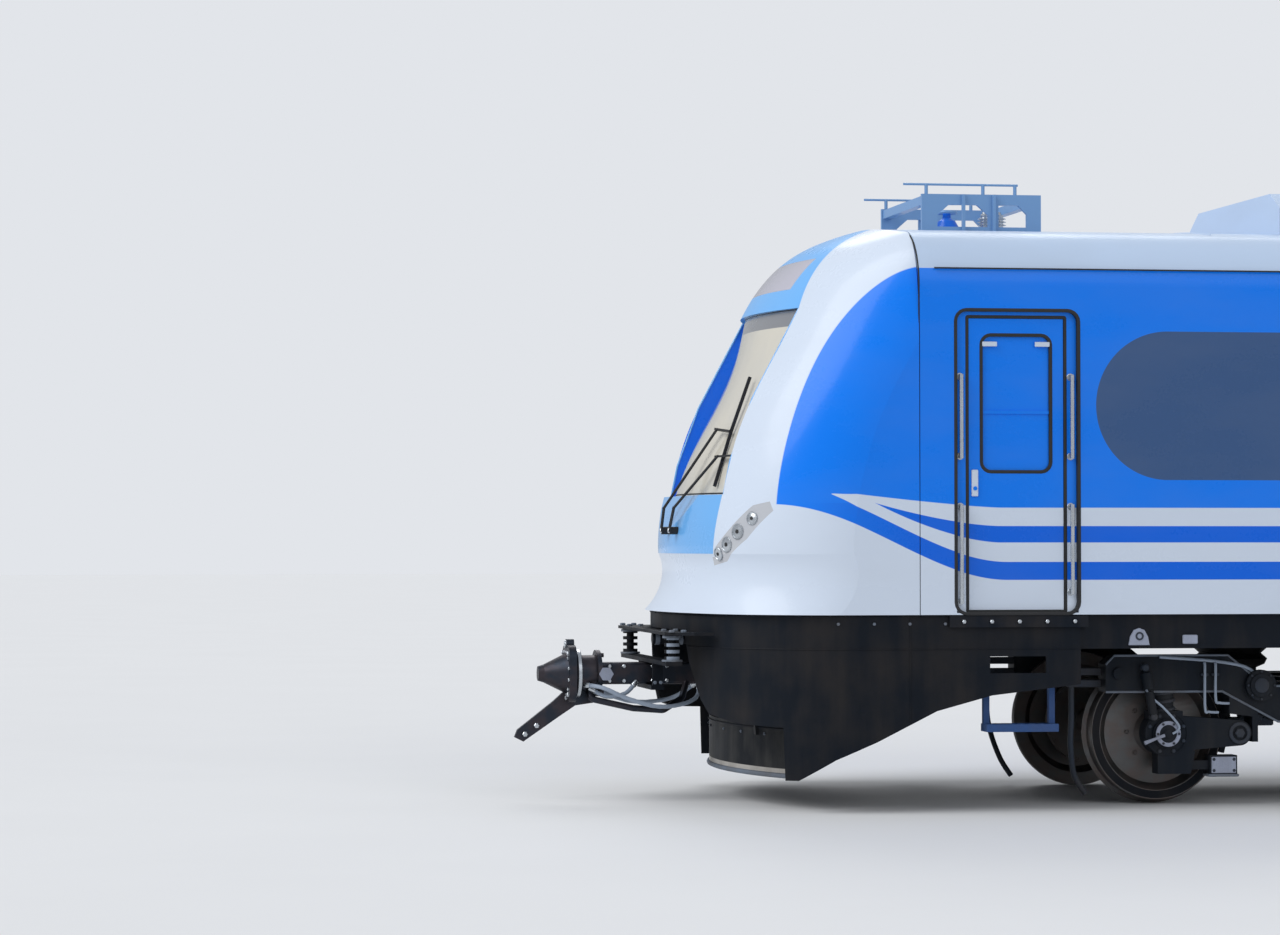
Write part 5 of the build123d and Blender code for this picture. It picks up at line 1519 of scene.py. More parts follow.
@dataclass
class Coupler(Piece):
    """Bolts, ports, blank plate and air hoses of the front coupler."""

    face: float = -0.59
    height: float = 0.865
    pins: Pairs = ((-0.88, 0.452), (-0.8, 0.51))
    blank_at: float = -0.337
    blank: Pairs = ((-0.09, 0.012), (0.0, 0.012), (0.0, 0.05), (0.008, 0.05))
    ferrule: Pairs = ((-0.012, 0.02), (0.03, 0.02), (0.036, 0.016))
    hoses: Sequence[Sequence[Place]] = (
        (
            (-0.47, -0.1, 0.79), (-0.36, -0.19, 0.77), (-0.2, -0.21, 0.7),
            (0.0, -0.22, 0.645), (0.17, -0.2, 0.655), (0.29, -0.14, 0.7),
            (0.33, -0.07, 0.78),
        ),
        (
            (-0.47, 0.1, 0.79), (-0.36, 0.19, 0.75), (-0.1, 0.22, 0.66), (0.17, 0.19, 0.68),
            (0.33, 0.07, 0.79),
        ),
        ((-0.43, -0.09, 0.76), (-0.33, -0.13, 0.71), (-0.2, -0.12, 0.73), (-0.12, -0.075, 0.8)),
    )

    def hose(self, surface: Surface, route: Sequence[Place]) -> None:
        """Ribbed hose whose radius swings as a sine along it, with a ferrule at each end.

        Args:
            surface: Mesh to add to.
            route: Places back from the lip, Y and heights that it runs through.
        """
        path = smooth_path(np.array(route) + (LIP_X, 0, 0))
        share = np.linspace(0, 2 * np.pi * len(path) / 2.5, len(path))
        surface.tube(path, 0.0145 + 0.0008 * np.sin(share), 12, 3)
        for end, inner in ((0, 1), (-1, -2)):
            surface.lathe(self.ferrule, path[end], path[inner] - path[end], 12, 1)

    def dress(self, finishes: "Finishes") -> None:
        """Pieces that swing with the coupler.

        Args:
            finishes: The materials to choose from.
        """
        surface = Surface("coupler_dress")
        x, z = back(self.face), self.height
        corners = spread(x, (-0.12, 0.12), (z - 0.14, z + 0.14))
        surface.bolts(0.017, 0.014, corners, 1, "x", -1)
        surface.bolts(0.013, 0.01, ring_of((x, 0, z), 0.152, 12, "x", 0.26), 1, "x", -1)
        for port in (z - 0.168, z + 0.2):
            surface.ring((x, 0, port), (-1, 0, 0), 0.013, 0.026, 0.012, 20, 1)
        surface.ring((x + 0.065, 0, z), (1, 0, 0), 0.1645, 0.1685, 0.022, 48, 1)
        for sign in SIDES.values():
            heads = [(back(place), sign * 0.032, height) for place, height in self.pins]
            surface.bolts(0.019, 0.014, heads, 1, sign=sign)
            flanks = spread(back((-0.3, -0.2, 0.0, 0.1)), sign * 0.075, (z - 0.05, z + 0.05))
            surface.bolts(0.014, 0.014, flanks, 1, sign=sign)
        surface.lathe(self.blank, (back(self.blank_at), -0.16, z), (0, -1, 0), 6, 2)
        for route in self.hoses:
            self.hose(surface, route)
        materials = [finishes.coupler, finishes.bright, finishes.lug, finishes.hose]
        surface.finish("front_coupler", "coupler_steel", materials)


@dataclass
class Skirt(Piece):
    """Joints, bolts and worn edges of the skirt, the deflector and the coupler carrier."""

    set_back: float = 0.04
    end: float = 2.58
    chin_back: float = 0.46
    half: float = 1.52
    seam: float = 1.07
    chin_end: float = 0.79

    def run(
        self, plan: tuple[np.ndarray, np.ndarray], start: float, z: float, proud: float = 0.0
    ) -> np.ndarray:
        """Path along a plan outline at a height.

        Args:
            plan: Outline and outward directions.
            start: Distance along it where the path starts; it ends with the outline.
            z: Height.
            proud: How far outside the outline.

        Returns:
            Rows of X, Y and Z.
        """
        outline, away = plan
        steps = np.linalg.norm(np.diff(outline, axis=0), axis=1)
        length = np.concatenate([[0], np.cumsum(steps)])
        share = np.linspace(start, length[-1], 60)
        x, y = (np.interp(share, length, column) for column in (outline + proud * away).T)
        return rows(back(x), y, z)

    def half_dress(self, surface: Surface, sign: float) -> None:
        """Pieces of one side.

        Args:
            surface: Mesh to add to.
            sign: Side of the car.
        """
        side = (1, sign, 1)
        skirt = plan_outline(self.set_back, self.half, self.end)
        chin = plan_outline(self.chin_back, self.half, 1.6)
        row = self.run(skirt, 0.75, 1.235)[::5]
        lip, rail = self.run(chin, 0.0, 0.222, 0.001), self.run(chin, 0.0, 0.53)
        lip, rail = (line[line[:, 0] < back(self.chin_end)] for line in (lip, rail))
        surface.tube(self.run(skirt, 0.68, self.seam) * side, 0.005, 6)
        surface.tube(self.run(skirt, 0.03, SILL_Z - 0.012) * side, 0.006, 6)
        surface.tube(rows(back(1.44), sign * self.half, np.linspace(0.6, 1.28, 12)), 0.005, 6)
        surface.tube(lip * side, 0.0165, 8, 1)
        surface.tube(rail * side, 0.008, 6)
        studs = np.vstack([row[row[:, 1] > 1.5], rail[6::9] - (0, 0, 0.04)])
        surface.bolts(0.011, 0.008, studs * side, 1, sign=sign)
        heads = spread(back((-0.03, 0.05)), (sign * 0.66, sign * 0.94), 1.1702)
        surface.bolts(0.02, 0.016, heads, 1, "z")
        pins = spread(back((-0.02, 0.02)), sign * 0.275, 0.81)
        surface.bolts(0.013, 0.012, pins, 1, sign=sign)
        for z, outer, height in ((1.128, 0.066, 0.018), (0.9725, 0.07, 0.012)):
            surface.ring((back(0.0), sign * 0.8, z), (0, 0, 1), 0.05, outer, height, 28, 1)

    def dress(self, finishes: "Finishes") -> None:
        """Both sides, then two collars on the coupler carrier.

        Args:
            finishes: The materials to choose from.
        """
        surface = Surface("skirt_dress")
        for sign in SIDES.values():
            self.half_dress(surface, sign)
        for place in (-0.03, 0.13):
            surface.ring((back(place), -0.33, 1.112), (1, 0, 0), 0.036, 0.043, 0.03, 28, 1)
        surface.finish("car", "dark_paint", [finishes.dark, finishes.worn])


@dataclass
class Lamps(Piece):
    """Reflectors, bezels and bulbs in both headlamp clusters.

    Each lamp is given by its distance from the middle, its height and its radius. The
    profiles' radii are shares of that radius.
    """

    places: Sequence[Place] = (
        (0.945, 1.69, 0.045), (1.035, 1.752, 0.053), (1.128, 1.838, 0.053),
        (1.222, 1.925, 0.045),
    )
    bowl: Pairs = ((-0.004, 0.84), (0.003, 0.84), (0.0045, 0.5), (0.006, 0.3))
    bulb: Pairs = ((0.0, 0.3), (0.009, 0.26), (0.01, 0.0))
    step: float = 0.012

    def dress(self, finishes: "Finishes") -> None:
        """Sets a turned lamp square to the glass at each place.

        The direction out of the glass is (-1, dx/dy, dx/dz), from X measured a step to
        each side of the place.

        Args:
            finishes: The materials to choose from.
        """
        surface = Surface("lamp_bowls")
        node = "headlamps"
        for sign in SIDES.values():
            flat = np.array(self.places)[:, :2] * (sign, 1)
            centres = rows(surface_x(node, flat), *flat.T)
            slopes = [
                (surface_x(node, flat + shift) - surface_x(node, flat - shift)) / (2 * self.step)
                for shift in np.eye(2) * self.step
            ]
            outs = np.nan_to_num(rows(-1.0, *slopes))
            for centre, out, (_, _, radius) in zip(centres, outs, self.places):
                surface.ring(centre, out, radius * 0.82, radius, 0.007, 32, 1)
                surface.lathe(np.array(self.bowl) * (1, radius), centre, out, 32)
                surface.lathe(np.array(self.bulb) * (1, radius), centre, out, 20, 2)
        materials = [finishes.reflector, finishes.bright, finishes.rubber]
        surface.finish("car", "lamp_glass", materials)


@dataclass(frozen=True)
class Corner:
    """One end of an axle, or one side of a bogie's middle."""

    x: float
    way: float
    sign: float

    def at(self, *points: object) -> np.ndarray:
        """Places near the corner.

        Args:
            points: Distance beyond the axle as seen from the bogie's middle, distance from
                the car's middle, and height, of one place or in rows.

        Returns:
            X, Y and Z of each.
        """
        near = np.asarray(points[0] if len(points) == 1 else points, float)
        return near * (self.way, self.sign, 1) + (self.x, 0, 0)


@dataclass
class Bogie(Piece):
    """Bolts, springs, dampers, brake blocks, pipes and cables on one bogie and its wheels."""

    place: str
    beam: float = 1.145
    tread: float = 0.885
    cap: Pairs = ((-0.001, 0.03), (0.006, 0.03), (0.01, 0.02))
    nut: Pairs = ((0, 0.034), (0.016, 0.034), (0.02, 0.028))
    boss: Pairs = ((-0.012, 0.05), (0.004, 0.05), (0.008, 0.042))
    eye: Pairs = ((-0.034, 0.024), (0.02, 0.024), (0.026, 0.016))
    damper: Pairs = (
        (0, 0.02), (0.015, 0.024), (0.02, 0.03), (0.17, 0.03), (0.172, 0.012),
        (0.19, 0.012), (0.19, 0.037), (0.3, 0.037), (0.305, 0.02), (0.33, 0.018),
    )
    cylinder: Pairs = ((0, 0.07), (0.01, 0.078), (0.11, 0.078), (0.12, 0.06), (0.15, 0.05))
    yaw: Pairs = (
        (0, 0.03), (0.02, 0.036), (0.28, 0.036), (0.285, 0.02), (0.45, 0.02), (0.47, 0.03),
    )
    block: Pairs = (
        (0.463, -0.038), (0.463, 0.038), (0.467, 0.041), (0.5, 0.041), (0.504, 0.037),
        (0.504, -0.037), (0.5, -0.041), (0.467, -0.041),
    )
    edges: Sequence[Pairs] = (
        ((1.67, 0.949), (1.61, 1.009), (0.82, 1.009), (0.56, 0.8)),
        ((1.67, 0.766), (0.86, 0.766), (0.47, 0.56)),
    )
    sensor: Sequence[Place] = (
        (-0.03, 1.186, 0.0), (-0.07, 1.2, 0.05), (0.03, 1.19, 0.17), (0.13, 1.185, 0.26),
        (0.17, 1.165, 0.36),
    )
    sand: Sequence[Place] = (
        (0.62, 1.02, 0.92), (0.62, 1.02, 0.6), (0.61, 0.97, 0.4), (0.56, 0.885, 0.2),
        (0.48, 0.875, 0.07),
    )
    cable: Sequence[Place] = (
        (-1.3, 1.157, 1.0), (-0.7, 1.147, 0.93), (-0.5, 1.117, 0.72), (0, 1.127, 0.63),
        (0.5, 1.117, 0.72), (0.7, 1.147, 0.93), (1.3, 1.157, 1.0),
    )

    def axle_box(self, surface: Surface, corner: Corner) -> None:
        """Cap ring, bolts, spring, arm bush and damper of one axle box.

        Args:
            surface: Mesh to add to.
            corner: End of the axle.
        """
        out, sign = (0, corner.sign, 0), corner.sign
        cap = corner.at(0, 1.18, AXLE_Z)
        surface.ring(cap, out, 0.06, 0.086, 0.009, 32, 4)
        surface.lathe(self.cap, cap, out, 20)
        lever = corner.at((0.03, 1.192, -0.01), (0.09, 1.2, -0.03), (0.17, 1.2, -0.06))
        surface.tube(lever + (0, 0, AXLE_Z), (0.012, 0.009, 0.014), 8, 4)
        surface.bolts(0.009, 0.008, ring_of(corner.at(0, 1.189, AXLE_Z), 0.073, 6), 2, sign=sign)
        hub = corner.at(0, self.beam, AXLE_Z)
        surface.bolts(0.014, 0.012, ring_of(hub, 0.126, 8, start=0.39), 2, sign=sign)
        surface.ring(hub, out, 0.138, 0.149, 0.006, 40)
        surface.tube(helix(corner.at(0, 1.065, 0.632), 0.074, 0.128, 3.4), 0.0125, 8, 2)
        arm = corner.at(-0.51, self.beam, AXLE_Z)
        surface.ring(arm, out, 0.05, 0.074, 0.012, 32, 2)
        surface.lathe(self.nut, arm, out, 6, 2)
        surface.lathe(self.boss, corner.at(-0.65, 1.195, 0.806), out, 28, 2)
        studs = ring_of(corner.at(-0.65, 1.185, 0.806), 0.092, 8)
        surface.bolts(0.009, 0.008, studs, 2, sign=sign)
        foot, head = corner.at((0.1, 1.178, 0.6), (0.16, 1.178, 0.93))
        surface.lathe(self.damper, foot, head - foot, 20)
        for end in (foot, head):
            surface.lathe(self.eye, end, out, 18, 2)

    def hangings(self, surface: Surface, corner: Corner) -> None:
        """Face, foot plate and bolts of the hanging box, a sensor cable and two hoses.

        Args:
            surface: Mesh to add to.
            corner: End of the axle.
        """
        surface.boxes((0.17, 0.012, 0.11), 0.004, corner.at(-0.4, 1.143, 0.272), 4)
        surface.boxes((0.21, 0.128, 0.018), 0.004, corner.at(-0.4, 1.085, 0.202), 1)
        heads = corner.at(spread((-0.33, -0.47), 1.14, (0.235, 0.31)))
        surface.bolts(0.012, 0.012, heads, 2, sign=corner.sign)
        sensor = corner.at(np.array(self.sensor) + (0, 0, AXLE_Z))
        surface.tube(smooth_path(sensor, 7), 0.008, 8, 3)
        for shift, drop in ((0.26, 0.3), (0.335, 0.24)):
            route = corner.at(
                (-shift, 1.16, 0.955),
                (-shift, 1.172, 0.93),
                (-shift, 1.172, 0.955 - drop),
                (-shift - 0.03, 1.165, 0.93 - drop),
                (-shift - 0.1, 1.15, 0.925 - drop),
            )
            surface.tube(smooth_path(route, 6), 0.009, 8, 3)
            surface.boxes((0.05, 0.02, 0.018), 0.003, corner.at(-shift, 1.165, 0.88), 2)

    def brakes(self, surface: Surface, corner: Corner) -> None:
        """Brake block on the tread with its hanger, and a sand pipe ahead of the wheel.

        The block is a flat section of radius and width, turned a little round the axle.

        Args:
            surface: Mesh to add to.
            corner: End of the axle.
        """
        turn = np.linspace(-0.3, 0.3, 14)[:, None]
        radius, wide = np.array(self.block).T
        arc = np.broadcast_arrays(
            -radius * np.cos(turn), self.tread + wide, AXLE_Z + radius * np.sin(turn)
        )
        surface.grid(capped(corner.at(np.stack(arc, -1))))
        surface.boxes((0.335, 0.05, 0.06), 0.008, corner.at(-0.672, self.tread, 0.55), 2)
        foot = corner.at(-0.75, self.tread, 0.62)
        surface.lathe(self.cylinder, foot, (corner.way, 0, 0), 24, 2)
        surface.tube(smooth_path(corner.at(self.sand)), 0.019, 12, 2)
        clamps = corner.at(spread(0.5, 1.02, (0.82, 0.9)))
        surface.boxes((0.3, 0.05, 0.05), 0.005, clamps, 2)

    def wheels(self, x: float, end: str, finishes: "Finishes") -> None:
        """Painted rim, web bolts and disc ribs of one wheelset, which turn with it.

        Args:
            x: X of the axle.
            end: Which axle of the bogie.
            finishes: The materials to choose from.
        """
        surface = Surface(f"wheel_dress_{self.place}_{end}")
        for sign in SIDES.values():
            hub, out = Corner(x, 1, sign), (0, sign, 0)
            surface.ring(hub.at(0, 0.9345, AXLE_Z), out, 0.397, 0.448, 0.0025, 72)
            webs = ring_of(hub.at(0, 0.9055, AXLE_Z), 0.2, 8)
            surface.bolts(0.016, 0.014, webs, 1, sign=sign)
            surface.ring(hub.at(0, 0.952, AXLE_Z), out, 0.08, 0.112, 0.006, 36, 1)
            ribs = ring_of(hub.at(0, 0.59, AXLE_Z), 0.285, 24)
            surface.boxes((0.018, 0.075, 0.018), 0.003, ribs, 1)
        materials = [finishes.dark, finishes.wheel]
        surface.finish(f"wheelset_{self.place}_{end}", "wheel_steel", materials)

    def frame_side(self, surface: Surface, side: Corner) -> None:
        """Beaded edges, main cable, straps, plate and yaw damper of one side of the frame.

        Args:
            surface: Mesh to add to.
            side: Side of the bogie's middle.
        """
        for half in self.edges:
            edge = np.vstack([half, (np.array(half) * (-1, 1))[::-1]])
            surface.tube(side.at(rows(edge[:, 0], self.beam, edge[:, 1])), 0.008, 8, 1)
        surface.tube(smooth_path(side.at(self.cable)), 0.011, 8, 3)
        straps = side.at((-0.3, 1.15, 0.65), (0, 1.15, 0.63), (0.3, 1.15, 0.65))
        surface.boxes((0.03, 0.03, 0.05), 0.004, straps, 2)
        surface.boxes((0.36, 0.014, 0.12), 0.004, side.at(0, 1.151, 0.715), 2)
        surface.lathe(self.yaw, side.at(-0.5, 0.93, 0.64), (1, 0, 0), 20)

    def dress(self, finishes: "Finishes") -> None:
        """Both wheelsets and everything on the bogie.

        Args:
            finishes: The materials to choose from.
        """
        surface = Surface(f"bogie_dress_{self.place}")
        middle = back(BOGIES[self.place])
        for end, way in ENDS.items():
            x = middle + way * WHEELBASE / 2
            for sign in SIDES.values():
                corner = Corner(x, way, sign)
                self.axle_box(surface, corner)
                self.hangings(surface, corner)
                self.brakes(surface, corner)
            self.wheels(x, end, finishes)
        for sign in SIDES.values():
            self.frame_side(surface, Corner(middle, 1, sign))
        materials = (finishes.bogie, finishes.worn, finishes.gear, finishes.hose, finishes.lug)
        surface.finish(f"bogie_{self.place}", "bogie_paint", materials)


@dataclass
class Underfloor(Piece):
    """Louvres, latches, frames, pipes, trays and lugs below the floor.

    Each case is given by its front, length, half width, height and number of covers, and
    each pipe by its Y, height and radius.
    """

    cases: Sequence[Place] = ((8.3, 3.2, 1.25, 0.62, 4), (12.3, 1.9, 1.3, 0.56, 3))
    case_top: float = 1.068
    pipe_lines: Sequence[Place] = (
        (0.52, 1.035, 0.017), (0.58, 1.035, 0.017), (-0.55, 1.035, 0.021),
    )
    pipe_runs: Pairs = ((6.6, 8.24), (11.55, 12.26), (14.24, 17.8))
    tray_runs: Pairs = ((6.5, 8.27), (11.52, 12.28), (14.22, 17.9))
    tray_y: float = 1.33
    tray: Pairs = (
        (-0.075, 0.026), (-0.075, -0.03), (0.075, -0.03), (0.075, 0.026), (0.071, 0.026),
        (0.071, -0.026), (-0.071, -0.026), (-0.071, 0.026),
    )
    tank_y: float = 0.7
    tank_pipe: Sequence[Place] = (
        (14.9, 0.7, 0.59), (14.9, 0.7, 0.55), (15.0, 0.62, 0.53), (15.0, 0.3, 0.53),
        (15.0, 0.0, 0.53),
    )
    drain: Pairs = (
        (0, 0.02), (0.03, 0.02), (0.03, 0.03), (0.045, 0.03), (0.045, 0.012), (0.08, 0.012),
    )
    bell: Pairs = (
        (-0.07, -0.055), (0.07, -0.055), (0.06, 0.0), (0.035, 0.045), (0.0, 0.058),
        (-0.035, 0.045), (-0.06, 0.0),
    )
    lug_places: Place = (2.99, 18.6, 22.0)

    def covers(self, surface: Surface, sign: float) -> None:
        """Frame, slats, latches and hinges of each cover of the cases.

        Args:
            surface: Mesh to add to.
            sign: Side of the car.
        """
        slat = rounded_box((1.0, 0.012, 0.014), 0.003)
        ends = np.array([-1, 1])
        for front, length, half, tall, count in self.cases:
            pitch, face, z = length / count, half + 0.015, self.case_top - tall / 2
            for x in back(front + pitch * (np.arange(count) + 0.5)):
                size = (pitch - 0.11, tall - 0.17, 0.02)
                Gasket(0.012, 0.004, 0.004).lay(surface, (x, z), size, face, sign)
                levels = z + np.linspace(-0.32, 0.14, 8) * (tall - 0.135)
                slats = spread(x, sign * (face + 0.004), levels)
                surface.repeat(bend(slat, np.diag((pitch - 0.28, 1, 1))), slats)
                y = sign * (face + 0.006)
                latches = spread(x + ends * (pitch / 2 - 0.085), y, z - tall * 0.18)
                surface.boxes((0.03, 0.016, 0.07), 0.005, latches, 1)
                hinges = spread(x + ends * (pitch / 2 - 0.2), y, z + tall / 2 - 0.075)
                surface.boxes((0.07, 0.018, 0.022), 0.005, hinges, 1)

    def pipes(self, surface: Surface) -> None:
        """Brake and main pipes along the car with their clamps.

        Args:
            surface: Mesh to add to.
        """
        for y, z, radius in self.pipe_lines:
            for run in self.pipe_runs:
                surface.tube(rows(np.linspace(*back(run), 12), y, z), radius, 12, 1)
        clamps = spread(back((6.9, 7.7, 14.35, 16.7, 17.4)), (-0.55, 0.55), 1.045)
        surface.boxes((0.04, 0.18, 0.05), 0.006, clamps)

    def trays(self, surface: Surface, sign: float) -> None:
        """Cable trays with three cables each, tank pipe, drain and strap nuts.

        Args:
            surface: Mesh to add to.
            sign: Side of the car.
        """
        middle = sign * self.tray_y
        for run in self.tray_runs:
            x = np.linspace(*back(run), 4)
            surface.sweep(rows(x, middle, 1.04), (0, 1, 0), (0, 0, 1), self.tray, False)
            surface.boxes((0.01, 0.156, 0.062), 0.003, spread(x[[0, -1]], middle, 1.038))
            for shift in (-0.035, 0.0, 0.035):
                surface.tube(rows(x, middle + shift, 1.036), 0.015, 8, 2)
        route = np.array(self.tank_pipe) * (1, sign, 1) + (LIP_X, 0, 0)
        surface.tube(smooth_path(route, 6), 0.012, 10, 1)
        tank = sign * self.tank_y
        surface.lathe(self.drain, (back(16.1), tank, 0.595), (0, 0, -1), 16, 1)
        nuts = spread(back((15.15, 16.03)), (tank - 0.06, tank + 0.06), 1.009)
        surface.bolts(0.012, 0.02, nuts, 1, "z")

    def lugs(self, surface: Surface, sign: float) -> None:
        """Lifting lugs, jacking pads and upright ribs on a solebar.

        Args:
            surface: Mesh to add to.
            sign: Side of the car.
        """
        y, lugs = sign * 1.506, back(self.lug_places)
        surface.repeat(slab(self.bell, 0.03), spread(lugs, y, 1.145), 3)
        flats = spread(back((3.34, 6.1, 19.0, 21.6)), y, 1.127)
        surface.boxes((0.1, 0.03, 0.06), 0.006, flats, 3)
        for x in lugs:
            surface.ring((x, sign * 1.519, 1.15), (0, sign, 0), 0.016, 0.028, 0.006, 24, 1)
        ribs = spread(back(np.arange(6.9, 17.6, 1.05)), y, 1.17)
        surface.boxes((0.05, 0.022, 0.2), 0.006, ribs)
        pads = spread(back((7.2, 17.6)), sign * 1.46, 1.04)
        surface.boxes((0.24, 0.05, 0.06), 0.01, pads)

    def dress(self, finishes: "Finishes") -> None:
        """All of it on the car.

        Args:
            finishes: The materials to choose from.
        """
        surface = Surface("underfloor_dress")
        self.pipes(surface)
        for sign in SIDES.values():
            self.covers(surface, sign)
            self.trays(surface, sign)
            self.lugs(surface, sign)
        materials = [finishes.dark, finishes.gear, finishes.rubber, finishes.lug]
        surface.finish("car", "dark_paint", materials)


@dataclass
class RoofTop(Piece):
    """Fan guards and blades, insulators, conduits and joints on the roof."""

    units: Place = (4.2, 12.0, 18.5)
    unit_length: float = 3.2
    fan_z: float = 4.163
    joints: Place = (3.6, 8.0, 11.4, 15.9, 18.1, 22.3)
    conduits: Pairs = ((1.02, 0.018), (-1.02, 0.018), (0.3, 0.024))
    conduit_runs: Pairs = ((7.6, 11.8), (15.4, 18.3))
    posts: Place = (2.39, 2.48)
    bell: Pairs = (
        (0.0, 0.06), (0.012, 0.066), (0.012, 0.07), (0.0, 0.074), (-0.01, 0.068),
        (0.0, 0.06),
    )

    def fan(self, surface: Surface, x: float) -> None:
        """Wire guard of rings and spokes over a fan, and seven pitched blades.

        Args:
            surface: Mesh to add to.
            x: X of the fan.
        """
        turn = np.linspace(0, 2 * np.pi, 41)
        loop = rows(np.cos(turn), np.sin(turn), 0.0)
        for radius in np.arange(0.1, 0.35, 0.035):
            surface.tube(loop * radius + (x, 0, self.fan_z), 0.0035, 6, 1)
        reach = np.linspace(-0.345, 0.345, 7)
        for angle in np.linspace(0, np.pi, 6, endpoint=False):
            spoke = rows(reach * math.cos(angle), reach * math.sin(angle), 0.004)
            surface.tube(spoke + (x, 0, self.fan_z), 0.004, 6, 1)
        surface.ring((x, 0, self.fan_z - 0.004), (0, 0, 1), 0.33, 0.36, 0.012, 48, 1)
        pitched = ((1, 0, 0), (0, 0.9, 0), (0, 0.28, 1))
        blade = bend(rounded_box((0.2, 0.11, 0.008), 0.003), pitched, (0.2, 0, 0))
        for cos, sin in circle(7):
            spun = bend(blade, ((cos, -sin, 0), (sin, cos, 0), (0, 0, 1)))
            surface.repeat(spun, (x, 0, self.fan_z - 0.036), 2)

    def covers(self, surface: Surface, middle: float) -> None:
        """Lid frames, lifting eyes and louvre slats of a unit.

        Args:
            surface: Mesh to add to.
            middle: X of its middle.
        """
        bays = middle + (np.arange(8) - 3.5) * self.unit_length / 9
        levels = ROOF_Z + 0.0625 + np.array([-0.034, -0.012, 0.012, 0.034])
        surface.boxes((0.29, 0.012, 0.012), 0.003, spread(bays, (-0.886, 0.886), levels))
        across, along = np.array([-1, 1, 1, -1, -1]) * 0.405, np.array([-1, -1, 1, 1, -1]) * 0.6
        for x in (middle - 1.05, middle + 1.05):
            surface.tube(rows(x + across, along, self.fan_z), 0.006, 6)
            eyes = spread((x - 0.3, x + 0.3), (-0.66, 0.66), self.fan_z + 0.014)
            surface.boxes((0.05, 0.012, 0.035), 0.004, eyes, 1)

    def lines(self, surface: Surface) -> None:
        """Joints across the roof, and conduits along it with saddles.

        Args:
            surface: Mesh to add to.
        """
        y = np.linspace(-1.2, 1.2, 31)
        for x in back(self.joints):
            surface.tube(rows(x, y, roof_height(y) + 0.001), 0.007, 6)
        for y, radius in self.conduits:
            for run in self.conduit_runs:
                x, z = np.linspace(*back(run), 24), float(roof_height(y)) + radius
                surface.tube(rows(x, y, z + 0.008), radius, 12, 1)
                surface.boxes((0.03, 0.07, 0.05), 0.006, spread(x[1::5], y, z), 1)

    def insulators(self, surface: Surface) -> None:
        """Ribbed insulators behind the horn, the wire between them, and the horn's rim.

        Args:
            surface: Mesh to add to.
        """
        sheds = [(0.0, 0.036)]
        for z in np.arange(0.02, 0.11, 0.022):
            sheds += [(z, 0.036), (z + 0.004, 0.056), (z + 0.008, 0.056), (z + 0.014, 0.036)]
        sheds += [(0.142, 0.036), (0.15, 0.026), (0.165, 0.02)]
        for x in back(self.posts):
            surface.lathe(sheds, (x, 0, ROOF_Z + 0.005), (0, 0, 1), 24, 3)
        wire = smooth_path([(back(2.39), 0, 4.08), (back(2.435), 0, 4.066), (back(2.48), 0, 4.08)])
        surface.tube(wire, 0.006, 8, 1)
        rim = (back(2.11), 0, ROOF_Z + 0.16)
        surface.lathe(self.bell, rim, (0, 0, 1), 28, 1, solid=False)

    def dress(self, finishes: "Finishes") -> None:
        """All of it on the car.

        Args:
            finishes: The materials to choose from.
        """
        surface = Surface("roof_dress")
        for front in self.units:
            middle = back(front + self.unit_length / 2)
            for shift in (-0.42, 0.42):
                self.fan(surface, middle + shift)
            self.covers(surface, middle)
        self.lines(surface)
        self.insulators(surface)
        materials = [finishes.roof, finishes.roof_gear, finishes.dark, finishes.reflector]
        surface.finish("car", "roof_gear", materials)


